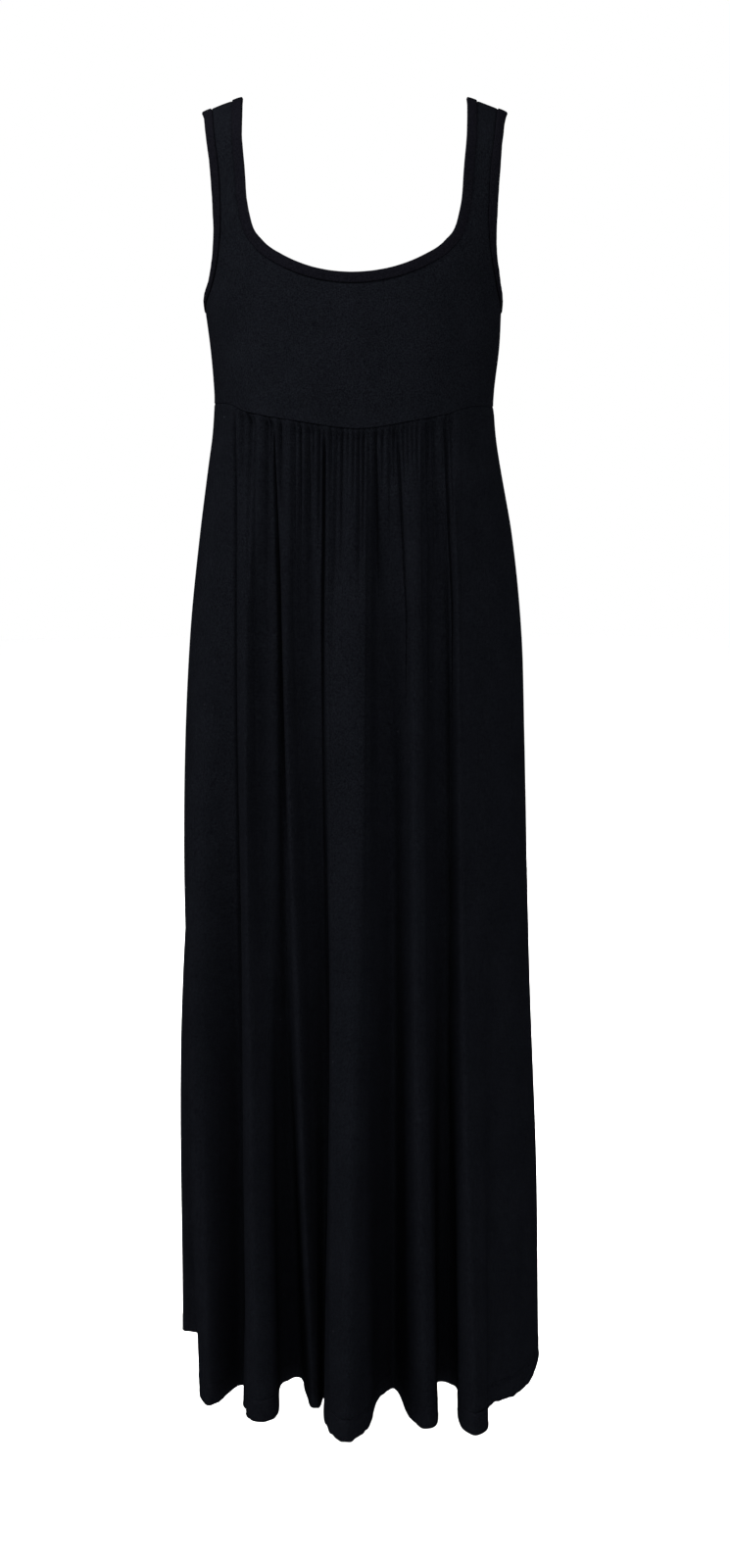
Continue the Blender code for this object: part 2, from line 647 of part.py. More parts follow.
def skirt_point(index, t, height, below):
    """A point of the skirt between two fold lines, at a height and a distance below the seam."""
    corners = []
    for i in (index - 1, index, index + 1, index + 2):
        fold, back = FOLD_RING[i % len(FOLD_RING)]
        corners.append(fold_line(fold, height, back))
    place = between(*corners, t)
    hold = min(below / FORM_HOLD, 1)
    hold = hold * hold * (3 - 2 * hold)
    place = on_form(place, height).lerp(place, hold)
    return Vector((place.x, place.y, height))


def gather_lengths(count):
    """Uneven lengths for the gathers, the same each time."""
    span = GATHER_LONGEST - GATHER_SHORTEST
    return [GATHER_SHORTEST + span * (i * GOLDEN % 1) for i in range(count)]


def skirt_columns(folds, start):
    """(fold index, share of the way to the next) for each mesh column of a panel."""
    columns = []
    for i, fold in enumerate(folds):
        columns += [(start + i, step / fold.columns) for step in range(fold.columns)]
    columns.insert(1, (start, SIDE_COLUMN))
    last = start + len(folds) - 1
    return columns + [(last, 1 - SIDE_COLUMN), (last, 1.0)]


def skirt_tops(columns, back):
    """The height at which each column of a skirt panel meets the bodice."""
    places = sorted((on_torso(*spot) for spot in empire_seam(back)), key=lambda place: place.x)
    tops = []
    for index, t in columns:
        top = EMPIRE_FRONT[0].height
        for _ in range(SETTLE_ROUNDS):
            top = seam_height(places, skirt_point(index, t, top, 0).x) - SEAM_GAP
        tops.append(top)
    return tops


def skirt_panel(name, folds, start, back):
    columns = skirt_columns(folds, start)
    names = column(folds, "name")
    gathers = range(0)
    if not back:
        first = columns.index((start + names.index(GATHERS_START), 0.0))
        last = columns.index((start + names.index(GATHERS_END), 0.0))
        gathers = range(first, last + 1)
    lengths = gather_lengths(len(gathers) // 2 + 1)
    tops = skirt_tops(columns, back)

    rows = []
    for row in range(len(SKIRT_ROWS) + 1):
        points = []
        for number, (index, t) in enumerate(columns):
            below = SKIRT_ROWS[row] if row < len(SKIRT_ROWS) else tops[number] - HEM_HEIGHT
            height = tops[number] - below
            point = skirt_point(index, t, height, below)
            if number in gathers:
                turn = number - gathers.start
                rise = min(GATHER_AT_SEAM + (1 - GATHER_AT_SEAM) * below / GATHER_RISE, 1)
                fade = max(0, 1 - below / lengths[turn // 2])
                out = GATHER_DEPTH * rise * fade * (1 if turn % 2 else -1)
                point += out * outward(index, t, height, below)
            points.append(point)
        for end, inner in ((0, 1), (-1, -2)):
            points[end] = points[end] + (points[inner] - points[end]).normalized() * SEAM_GAP / 2
        rows.append(points)
    mesh = bmesh.new()
    add_grid(mesh, rows[::-1])
    return make_object(name, mesh, WALL)


def outward(index, t, height, below):
    """The skirt's level outward direction between the folds."""
    here = skirt_point(index, t, height, below)
    there = skirt_point(index, t + PROBE_SHARE, height, below)
    along = (there - here).normalized()
    return Vector((along.y, -along.x, 0))


def main():
    for obj in list(bpy.data.objects):
        bpy.data.objects.remove(obj)
    collection = bpy.data.collections.new(COLLECTION)
    bpy.context.scene.collection.children.link(collection)
    openings = Openings()
    bodice_panel("bodice_front", openings, False)
    bodice_panel("bodice_back", openings, True)
    band("neck_binding", openings.neck, openings.neck_inward, NECK_BAND_WIDTH)
    band("armhole_binding_left", openings.arms[1], openings.arm_inward[1], ARM_BAND_WIDTH)
    band("armhole_binding_right", openings.arms[-1], openings.arm_inward[-1], ARM_BAND_WIDTH)
    skirt_panel("skirt_front", FRONT_FOLDS, 0, False)
    skirt_panel("skirt_back", BACK_FOLDS, len(FRONT_FOLDS), True)


main()
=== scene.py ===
import math

import bmesh
import bpy
import numpy as np
from mathutils import Matrix, Vector
from mathutils.kdtree import KDTree


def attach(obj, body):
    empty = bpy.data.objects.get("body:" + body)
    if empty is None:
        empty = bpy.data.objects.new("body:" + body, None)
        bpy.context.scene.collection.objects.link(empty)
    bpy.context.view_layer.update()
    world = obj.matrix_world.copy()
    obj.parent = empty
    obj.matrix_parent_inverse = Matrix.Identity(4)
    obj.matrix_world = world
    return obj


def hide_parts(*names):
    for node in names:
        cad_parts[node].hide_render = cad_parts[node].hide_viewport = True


# A sleeveless maxi dress in near-black jersey, hollow as when worn.
# Metres, +Z up, front towards -Y, the wearer's left at +X, shoulders at height 0.

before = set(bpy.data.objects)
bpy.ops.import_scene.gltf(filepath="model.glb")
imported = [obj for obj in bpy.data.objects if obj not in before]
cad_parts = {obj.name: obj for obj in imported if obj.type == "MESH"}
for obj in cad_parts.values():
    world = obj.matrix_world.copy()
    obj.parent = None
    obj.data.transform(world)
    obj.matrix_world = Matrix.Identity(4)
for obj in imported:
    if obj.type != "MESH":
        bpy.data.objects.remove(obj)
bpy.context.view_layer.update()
scene = bpy.context.scene
rng = np.random.default_rng(11)
mm = 0.001


# ---------- small helpers

def toLinear(hexColour):
    parts = [int(hexColour[i : i + 2], 16) / 255 for i in (1, 3, 5)]
    return tuple(c / 12.92 if c < 0.04045 else ((c + 0.055) / 1.055) ** 2.4 for c in parts) + (1,)


def addNode(tree, kind, settings=None, **links):
    # Inputs are named with _ for a space, or as i and their number. A value is set, a socket
    # is linked, and a node stands for its first output.
    node = tree.nodes.new(kind)
    for name, value in (settings or {}).items():
        setattr(node, name, value)
    for name, value in links.items():
        key = int(name[1:]) if name[0] == "i" and name[1:].isdigit() else name.replace("_", " ")
        if isinstance(value, bpy.types.Node):
            value = value.outputs[0]
        if isinstance(value, bpy.types.NodeSocket):
            tree.links.new(value, node.inputs[key])
        else:
            node.inputs[key].default_value = value
    return node


def maths(tree, operation, *values):
    inputs = {f"i{number}": value for number, value in enumerate(values)}
    return addNode(tree, "ShaderNodeMath", {"operation": operation}, **inputs)


def mapped(tree, value, fromMin, fromMax, toMin, toMax):
    return addNode(tree, "ShaderNodeMapRange", Value=value, From_Min=fromMin, From_Max=fromMax,
                   To_Min=toMin, To_Max=toMax)


def colourMix(tree, factor, first, second):
    mix = addNode(tree, "ShaderNodeMix", {"data_type": "RGBA"}, i0=factor, i6=first, i7=second)
    return mix.outputs[2]


def newMaterial(name, **inputs):
    material = bpy.data.materials.new(name)
    material.use_nodes = True
    shader = material.node_tree.nodes["Principled BSDF"]
    for key, value in inputs.items():
        shader.inputs[key.replace("_", " ")].default_value = value
    return material, shader


def addObject(name, data):
    obj = bpy.data.objects.new(name, data)
    scene.collection.objects.link(obj)
    return obj


def unit(vectors):
    return vectors / np.linalg.norm(vectors, axis=-1, keepdims=True)


def runningLength(points):
    steps = np.linalg.norm(np.diff(points, axis=0), axis=1)
    return np.concatenate([[0], np.cumsum(steps)])


def looped(points):
    return np.vstack([points, points[:1]])


def smoothStep(x):
    x = np.clip(x, 0, 1)
    return x * x * (3 - 2 * x)


def smoothCurve(keys, values, at):
    # A cubic curve through the values, with slopes taken from their neighbours
    keys, values = np.asarray(keys, float), np.asarray(values, float)
    if keys[0] > keys[-1]:
        keys, values = keys[::-1], values[::-1]
    at = np.clip(at, keys[0], keys[-1])
    number = np.arange(len(keys))
    before, after = np.maximum(number - 1, 0), np.minimum(number + 1, len(keys) - 1)
    slope = (values[after] - values[before]) / (keys[after] - keys[before])
    low = np.clip(np.searchsorted(keys, at, side="right") - 1, 0, len(keys) - 2)
    span = keys[low + 1] - keys[low]
    t = (at - keys[low]) / span
    return (
        (1 + 2 * t) * (1 - t) ** 2 * values[low]
        + t * (1 - t) ** 2 * span * slope[low]
        + t * t * (3 - 2 * t) * values[low + 1]
        - t * t * (1 - t) * span * slope[low + 1]
    )


def between(p0, p1, p2, p3, t):
    # Centripetal Catmull-Rom from p1 to p2; the last axis of the points holds their coordinates
    def knot(a, b):
        return np.maximum(np.linalg.norm(b - a, axis=-1, keepdims=True), 1e-9) ** 0.5

    k1 = knot(p0, p1)
    k2 = k1 + knot(p1, p2)
    k3 = k2 + knot(p2, p3)
    k = k1 + t * (k2 - k1)
    a1 = p0 * ((k1 - k) / k1) + p1 * (k / k1)
    a2 = p1 * ((k2 - k) / (k2 - k1)) + p2 * ((k - k1) / (k2 - k1))
    a3 = p2 * ((k3 - k) / (k3 - k2)) + p3 * ((k - k2) / (k3 - k2))
    b1 = a1 * ((k2 - k) / k2) + a2 * (k / k2)
    b2 = a2 * ((k3 - k) / (k3 - k1)) + a3 * ((k - k1) / (k3 - k1))
    return b1 * ((k2 - k) / (k2 - k1)) + b2 * ((k - k1) / (k2 - k1))


# ---------- the worn form

form = {
    "shoulderFall": 1.385,  # per metre across
    "levelAt": 0.110,  # where the shoulder line crosses height 0
    "shoulderRound": 0.060,  # radius of the shoulder from front to back
    "boxy": 0.25,  # how much squarer than an ellipse
    "underarm": -0.195,
    "hem": -1.300,
    "seamGap": 0.3 * mm,
    "wall": 0.7 * mm,
    "neckBand": 0.0100,
    "armBand": 0.0090,
    "tuck": 4.0 * mm,  # how far a panel's edge runs on inside a folded band
    "allowance": 3.0 * mm,  # how far an edge is turned in at a seam
    "seamRoll": 0.0005,  # radius of a panel's edge where it rolls into a seam
    # In millimetres: height, half width left, half width right, depth front, depth back. Left and right are
    # as seen from the front here, and the wearer's own in the names of the arm bindings.
    "sections": [
        (0, 190, 190, 92, 86),
        (-50, 186, 186, 94, 90),
        (-100, 172, 172, 102, 94),
        (-140, 158, 157, 110, 95),
        (-170, 151.5, 150, 116, 94.5),
        (-195, 148.7, 145.4, 119, 93),
        (-240, 143.2, 143, 123, 88),
        (-280, 140, 138.5, 125, 84),
        (-300, 140.3, 137.9, 125, 83),
        (-340, 143.7, 142.2, 126, 86),
        (-420, 155, 158, 129, 94),
        (-520, 166.5, 169, 134, 106),
        (-620, 172, 173.1, 139, 113),
        (-760, 173, 177.5, 143, 118),
        (-900, 170, 182.5, 147, 122),
        (-1100, 166, 193, 150, 127),
        (-1310, 164, 197.5, 152, 130),
    ],
}
sectionColumns = np.array(form["sections"]).T * mm


def formAt(height, side):
    number = ("left", "right", "front", "back").index(side) + 1
    return smoothCurve(sectionColumns[0], sectionColumns[number], height)


def halfWidth(x, height):
    return np.where(np.asarray(x) > 0, formAt(height, "right"), formAt(height, "left"))


def shoulderHeight(x):
    return -form["shoulderFall"] * (x * x - form["levelAt"] ** 2)


def dropOf(down):
    r = form["shoulderRound"]
    quarter = r * math.pi / 2
    return np.where(down < quarter, r * (1 - np.cos(down / r)), r + down - quarter)


def downOf(drop):
    r = form["shoulderRound"]
    near = r * np.arccos(np.clip(1 - drop / r, -1, 1))
    return np.where(drop < r, near, drop + r * (math.pi / 2 - 1))


def torsoPoint(spots):
    # A spot is an angle round the body (0 in front, 90 degrees at +X) and a length down from
    # the shoulder line
    angle, down = spots[..., 0], spots[..., 1]
    height = -down
    for _ in range(12):
        x = halfWidth(np.sin(angle), height) * np.sin(angle)
        height = shoulderHeight(x) - dropOf(down)
    depth = np.where(np.cos(angle) > 0, formAt(height, "front"), formAt(height, "back"))
    depth = depth * np.cos(angle) * (1 + form["boxy"] * np.sin(angle) ** 2)
    quarter = form["shoulderRound"] * math.pi / 2
    depth = np.where(down < quarter, depth * np.sin(down / form["shoulderRound"]), depth)
    return np.stack([x, -depth, height], axis=-1)


def torsoDirections(spots):
    # Which way the angle and the length lead at each spot, and the way out of the cloth
    step = 1e-4
    here = torsoPoint(spots)
    alongAngle = (torsoPoint(spots + [step, 0]) - here) / step
    alongDown = (torsoPoint(spots + [0, step]) - here) / step
    return alongAngle, alongDown, unit(np.cross(alongDown, alongAngle))


def slide(spots, way, distance):
    # The spots that lie this far along the form in a direction
    a, d, _ = torsoDirections(spots)
    aa, ad, dd = (a * a).sum(-1), (a * d).sum(-1), (d * d).sum(-1)
    ta, td = (way * a).sum(-1), (way * d).sum(-1)
    share = distance / (aa * dd - ad * ad)
    return spots + np.stack([(ta * dd - td * ad) * share, (td * aa - ta * ad) * share], axis=-1)


def laidOut(x, height, back):
    # The spot at a place across and a height
    down = downOf(shoulderHeight(x) - height)
    angle = math.asin(max(-1, min(1, x / halfWidth(x, height))))
    return np.array([math.pi - angle if back else angle, float(down)])


# ---------- curves on the form

curveSteps = 40  # between two corners of an edge


def dense(corners):
    corners = np.array(corners)
    padded = np.vstack([2 * corners[0] - corners[1], corners, 2 * corners[-1] - corners[-2]])
    t = (np.arange(curveSteps) / curveSteps)[:, None]
    runs = [between(*padded[i : i + 4], t) for i in range(len(corners) - 1)]
    return np.vstack(runs + [corners[-1:]])


def atShares(spots, shares):
    # Spots at shares of the curve's real length
    lengths = runningLength(torsoPoint(spots))
    aims = np.asarray(shares) * lengths[-1]
    return np.stack([np.interp(aims, lengths, spots[:, k]) for k in (0, 1)], axis=-1)


def inwardWays(loop):
    # The direction into the cloth at each spot of a closed edge
    places = torsoPoint(loop)
    along = np.roll(places, -1, axis=0) - np.roll(places, 1, axis=0)
    along[0] = along[1]
    return unit(np.cross(along, torsoDirections(loop)[2]))


# ---------- edges of the garment

# Distance from the centre and height in millimetres, from the shoulder down. A height of None
# is on the shoulder line.
neckFront = [
    (109, None), (106.6, -30), (103.6, -70), (101, -105), (96.2, -126.5), (86, -141.5),
    (66, -155.5), (35, -167.5), (0, -171.7),
]
neckBack = [
    (109, None), (114.5, -30), (114.5, -70), (112.2, -105), (107, -126), (96, -140), (74, -152.5),
    (39, -162.5), (0, -166),
]
armFront = [(149.2, None), (142.8, -33.5), (138.3, -63), (135, -105), (135.3, -143.6), (140, -172)]
armBack = [(149.2, None), (147.5, -33.5), (146.5, -63), (144, -105), (143, -140), (145.2, -170)]
empireFront = [
    (-140.5, -292.5), (-122, -293.2), (-104, -300.5), (-54, -309.3), (4, -316.2), (58, -308.5),
    (88, -302.8), (110, -296.2), (138.5, -295.5),
]
neckCentre = -0.0025  # the lowest point of the neckline, across
neckCorner = 0.66  # share of a half neckline from the shoulder to its corner
centreFoot = 0.080  # half the width of a bodice panel's middle cells at the empire seam
underarmTurn, underarmRise = math.radians(9), 0.006
empireSteps = 161  # places between two stops of the empire seam, before it is shared out
cells = {"strap": 32, "centre": 64, "side": 20, "arm": 24, "down": 40}


def edgeSpots(rows, sign, back, centre=0.0):
    spots = []
    for across, height in rows:
        x = sign * across * mm + centre * (1 - across / rows[0][0])
        spots.append(laidOut(x, shoulderHeight(x) if height is None else height * mm, back))
    return np.array(spots)


def neckHalf(back):
    # One panel's whole neck edge, in the direction of a growing angle
    rows = neckBack if back else neckFront
    left = edgeSpots(rows, -1, back, neckCentre)
    right = edgeSpots(rows, 1, back, neckCentre)
    left[-1] = right[-1] = laidOut(neckCentre, rows[-1][1] * mm, back)
    whole = dense(np.vstack([right, left[-2::-1]] if back else [left, right[-2::-1]]))
    corner = neckCorner / 2
    down, centre = cells["down"], cells["centre"]
    shares = np.concatenate([
        np.linspace(0, corner, down + 1),
        np.linspace(corner, 1 - corner, centre + 1)[1:],
        np.linspace(1 - corner, 1, down + 1)[1:],
    ])
    return atShares(whole, shares)


def armLoop(sign):
    # A whole armhole, in the direction that has the cloth to its left seen from outside
    front, back = edgeSpots(armFront, sign, False), edgeSpots(armBack, sign, True)
    if sign < 0:
        back[:, 0] -= 2 * math.pi
    under = []
    for turn, rise in ((-underarmTurn, underarmRise), (0, 0), (underarmTurn, underarmRise)):
        height = form["underarm"] + rise
        x = float(halfWidth(sign, height)) * math.cos(turn)
        under.append((sign * (math.pi / 2 + turn), float(downOf(shoulderHeight(x) - height))))
    whole = dense(np.vstack([front, under, back[::-1]]))
    middle = (len(front) + 1) * curveSteps
    shares = np.linspace(0, 1, cells["arm"] + cells["down"] + 1)
    fore, rear = atShares(whole[: middle + 1], shares), atShares(whole[: middle - 1 : -1], shares)
    first, second = (fore, rear) if sign > 0 else (rear, fore)
    return np.vstack([first, second[-2:0:-1]])


neckLoop = np.vstack([neckHalf(False)[:-1], neckHalf(True)[:-1]])
neckInward = inwardWays(neckLoop)
armLoops = {sign: armLoop(sign) for sign in (1, -1)}
armInward = {sign: inwardWays(loop) for sign, loop in armLoops.items()}
neckCount = 2 * cells["down"] + cells["centre"] + 1


def overShoulder(spot):
    # A spot at the shoulder line as the other panel names it
    return np.array([math.pi - spot[0], -spot[1]])


def neckSeam(back):
    # The panel's cut edge, inside the band
    spots = slide(neckLoop, neckInward, form["neckBand"] - form["tuck"])
    if back:
        return np.vstack([spots[neckCount - 1 :], overShoulder(spots[0])])
    return np.vstack([spots[: neckCount - 1], overShoulder(spots[neckCount - 1])])


def armSeam(sign, back):
    # From the side seam up to the shoulder
    spots = slide(armLoops[sign], armInward[sign], form["armBand"] - form["tuck"])
    half = cells["arm"] + cells["down"]
    if sign > 0:
        rear = np.vstack([spots[half:], overShoulder(spots[0])])
        return rear if back else spots[half::-1]
    front = np.vstack([spots[half:], overShoulder(spots[0]) - [2 * math.pi, 0]])
    return (spots[: half + 1] + [2 * math.pi, 0])[::-1] if back else front


def empireSeam(back):
    # A bodice panel's lower edge from side seam to side seam
    turn = math.pi if back else 0
    width = formAt(empireFront[0][1] * mm, "left")
    gap = form["seamGap"] / 2 / (formAt(form["underarm"], "front") * (1 + form["boxy"]))
    foot = math.asin(centreFoot / width)
    stops = (gap - math.pi / 2, -foot, foot, math.pi / 2 - gap)
    across, heights = np.array(empireFront).T * mm
    seam = []
    for start, end, count in zip(stops, stops[1:], (cells["strap"], cells["centre"], cells["strap"])):
        angle = turn + np.linspace(start, end, empireSteps)
        x = width * np.sin(angle)
        for _ in range(4):
            if back:
                share = np.clip((x - across[0]) / (across[-1] - across[0]), 0, 1)
                height = heights[0] + (heights[-1] - heights[0]) * share
            else:
                height = smoothCurve(across, heights, x)
            x = halfWidth(x, height) * np.sin(angle)
        spots = atShares(np.stack([angle, downOf(shoulderHeight(x) - height)], axis=-1),
                         np.linspace(0, 1, count + 1))
        seam.append(spots[1:] if seam else spots)
    return np.vstack(seam)


# ---------- meshes

def finishMesh(name, data, material, node):
    obj = addObject(name, data)
    data.materials.append(material)
    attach(obj, "root")
    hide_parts(node)
    return obj


def turnedIn(points, outward, aside, uv):
    # An edge's seam allowance: it rolls over and goes straight in, pressed against its
    # neighbour's so that no light comes through the seam
    rows = [points]
    for shift, depth in ((0.10 * mm, 0.3 * mm), (0.19 * mm, 0.9 * mm), (0.19 * mm, form["allowance"])):
        rows.append(points + aside * shift - outward * depth)
    return np.stack(rows), np.repeat(uv[None], len(rows), axis=0)


def gridMesh(name, grids, closed=False):
    # Each grid is points and UVs in rows that run up, with columns anticlockwise from above.
    # Faces all get the winding of the first one.
    verts, faces, uvs, start = [], [], [], 0
    for points, uv in grids:
        rows, columns = points.shape[:2]
        number = np.arange(rows * columns).reshape(rows, columns)
        here, after = number[:, :-1], number[:, 1:]
        if closed:
            here, after = number, np.roll(number, -1, axis=1)
        quads = np.stack([here[:-1], after[:-1], after[1:], here[1:]], axis=-1).reshape(-1, 4)
        corner = uv.reshape(-1, 2)[quads].reshape(rows - 1, -1, 4, 2)
        if closed:
            # The last column's cells end one step on, and not back at the first column
            step = uv[0, 1, 0] - uv[0, 0, 0]
            corner[:, -1, 1:3, 0] = corner[:, -1, (0, 3), 0] + step
        verts.append(points.reshape(-1, 3))
        faces.append(quads + start)
        uvs.append(corner.reshape(-1, 2))
        start += rows * columns
    data = bpy.data.meshes.new(name)
    data.from_pydata(np.vstack(verts).tolist(), [], np.vstack(faces).tolist())
    data.uv_layers.new(name="cloth").data.foreach_set("uv", np.vstack(uvs).ravel())
    work = bmesh.new()
    work.from_mesh(data)
    bmesh.ops.remove_doubles(work, verts=work.verts, dist=0.002 * mm)
    work.faces.ensure_lookup_table()
    before = work.faces[0].normal.copy()
    bmesh.ops.recalc_face_normals(work, faces=work.faces)
    work.faces.ensure_lookup_table()
    if work.faces[0].normal.dot(before) < 0:
        bmesh.ops.reverse_faces(work, faces=work.faces)
    work.to_mesh(data)
    work.free()
    data.shade_smooth()
    return data


def addWall(obj):
    wall = obj.modifiers.new("wall", "SOLIDIFY")
    wall.thickness = form["wall"]
    wall.offset = -1
    wall.use_even_offset = False


def pathLength(points):
    return float(np.linalg.norm(np.diff(points, axis=0), axis=1).sum())


def rolled(distance):
    # How far in an edge has rolled, at this distance from its seam
    roll = form["seamRoll"]
    return -roll + np.sqrt(roll**2 - (roll - np.minimum(distance, roll)) ** 2)


def edgeDistance(points, edges):
    # From each point to the nearest point of these edge lines
    line = np.vstack([np.stack([np.interp(np.arange(0, len(e) - 1, 0.2), np.arange(len(e)), e[:, k])
                                for k in range(3)], axis=-1) for e in edges])
    tree = KDTree(len(line))
    for i, place in enumerate(line):
        tree.insert(place, i)
    tree.balance()
    return np.array([tree.find(place)[2] for place in points.reshape(-1, 3)]).reshape(points.shape[:-1])


# ---------- materials

clothRoughness = 0.9
knitPitch = 1.0 * mm  # twice the real one, so that the eye can find the stitches


def wornCloth(name, base, heatherHex, puckered=False):
    # The wales and courses of the knit run along V and U, which are metres on the cloth
    material, shader = newMaterial(name, Roughness=clothRoughness, Specular_IOR_Level=0.0)
    tree = material.node_tree
    uv = addNode(tree, "ShaderNodeUVMap", {"uv_map": "cloth"})
    place = addNode(tree, "ShaderNodeTexCoord").outputs["Object"]

    # Heather in the yarn, and a slow change of shade over the whole cloth
    heather = addNode(tree, "ShaderNodeTexNoise", Vector=place, Scale=760.0, Detail=2.0, Roughness=0.6)
    cloudy = addNode(tree, "ShaderNodeTexNoise", Vector=place, Scale=26.0, Detail=2.0, Roughness=0.5)
    share = mapped(tree, heather, 0.32, 0.74, 0.0, 1.0)
    yarn = colourMix(tree, share, toLinear(base), toLinear(heatherHex))
    tinted = addNode(tree, "ShaderNodeVectorMath", {"operation": "SCALE"}, i0=yarn,
                     Scale=mapped(tree, cloudy, 0.3, 0.7, 0.92, 1.08))
    # Lint: a few pale specks about a millimetre across
    lint = addNode(tree, "ShaderNodeTexVoronoi", Vector=place, Scale=95.0, Randomness=1.0)
    picked = addNode(tree, "ShaderNodeSeparateColor", Color=lint.outputs["Color"])
    near = mapped(tree, lint.outputs["Distance"], 0.03, 0.07, 0.5, 0.0)
    speck = maths(tree, "MULTIPLY", maths(tree, "GREATER_THAN", picked, 0.965), near)
    tree.links.new(colourMix(tree, speck, tinted, toLinear("#26272c")), shader.inputs["Base Color"])

    # The knit stitches
    split = addNode(tree, "ShaderNodeSeparateXYZ", Vector=uv).outputs
    wales, courses = (maths(tree, "SINE", maths(tree, "MULTIPLY", split[axis], 2 * math.pi / knitPitch))
                      for axis in (0, 1))
    height = maths(tree, "MULTIPLY_ADD", courses, 0.5, wales)
    if puckered:
        # Small puckers across a band, where it is eased round the curve
        waves = addNode(tree, "ShaderNodeTexNoise", {"noise_dimensions": "1D"}, W=split[0],
                        Scale=260.0, Detail=1.0)
        height = maths(tree, "MULTIPLY_ADD", waves, 9.0, height)
    fuzz = maths(tree, "MULTIPLY_ADD", heather, 1.6, height)
    bump = addNode(tree, "ShaderNodeBump", Height=fuzz, Distance=0.00006, Strength=0.6)
    tree.links.new(bump.outputs[0], shader.inputs["Normal"])
    return material


# Viscose and elastane single jersey: near black and matt, with a fine heather and a little lint
jersey = wornCloth("viscose elastane jersey", "#020203", "#060709")
# The same jersey folded double and stretched round the edges: less blue, with small puckers
bandJersey = wornCloth("doubled jersey binding", "#020203", "#050507", puckered=True)
# Polyester sewing thread in the same black and as matt as the cloth, so that it only just shows
thread, _ = newMaterial("black polyester thread", Base_Color=toLinear("#040405"),
                        Roughness=clothRoughness, Specular_IOR_Level=0.0)


# ---------- bodice

bodiceLook = {
    "drags": (0.0004, 0.0003),  # heights of the slow waves in the stretched cloth
    "flatAtBand": 0.006,  # nearer to a cut edge than this, the band holds the cloth flat
    "dragFade": 0.03,
    "groove": 0.0009,  # how deep a band's lower edge presses into the panel
    "grooveWidth": 0.0012,
    "clothScale": (0.14, 1.0),  # metres of cloth to a radian round the body and a metre down
    "sideCrowding": 1.6,  # draws the rows at the sides down towards the empire seam
}


def eased(count):
    # Shares that crowd at both ends, where an edge rolls into its seam
    return (1 - np.cos(math.pi * np.arange(count + 1) / count)) / 2


def straight(start, end, shares):
    return start + (end - start) * np.asarray(shares)[:, None]


def coons(bottom, top, left, right, u, v):
    # A patch filled in smoothly between its four edges
    u, v = u[None, :, None], v[:, None, None]
    corners = (bottom[0] * (1 - u) + bottom[-1] * u) * (1 - v) + (top[0] * (1 - u) + top[-1] * u) * v
    return bottom * (1 - v) + top * v + left[:, None] * (1 - u) + right[:, None] * u - corners


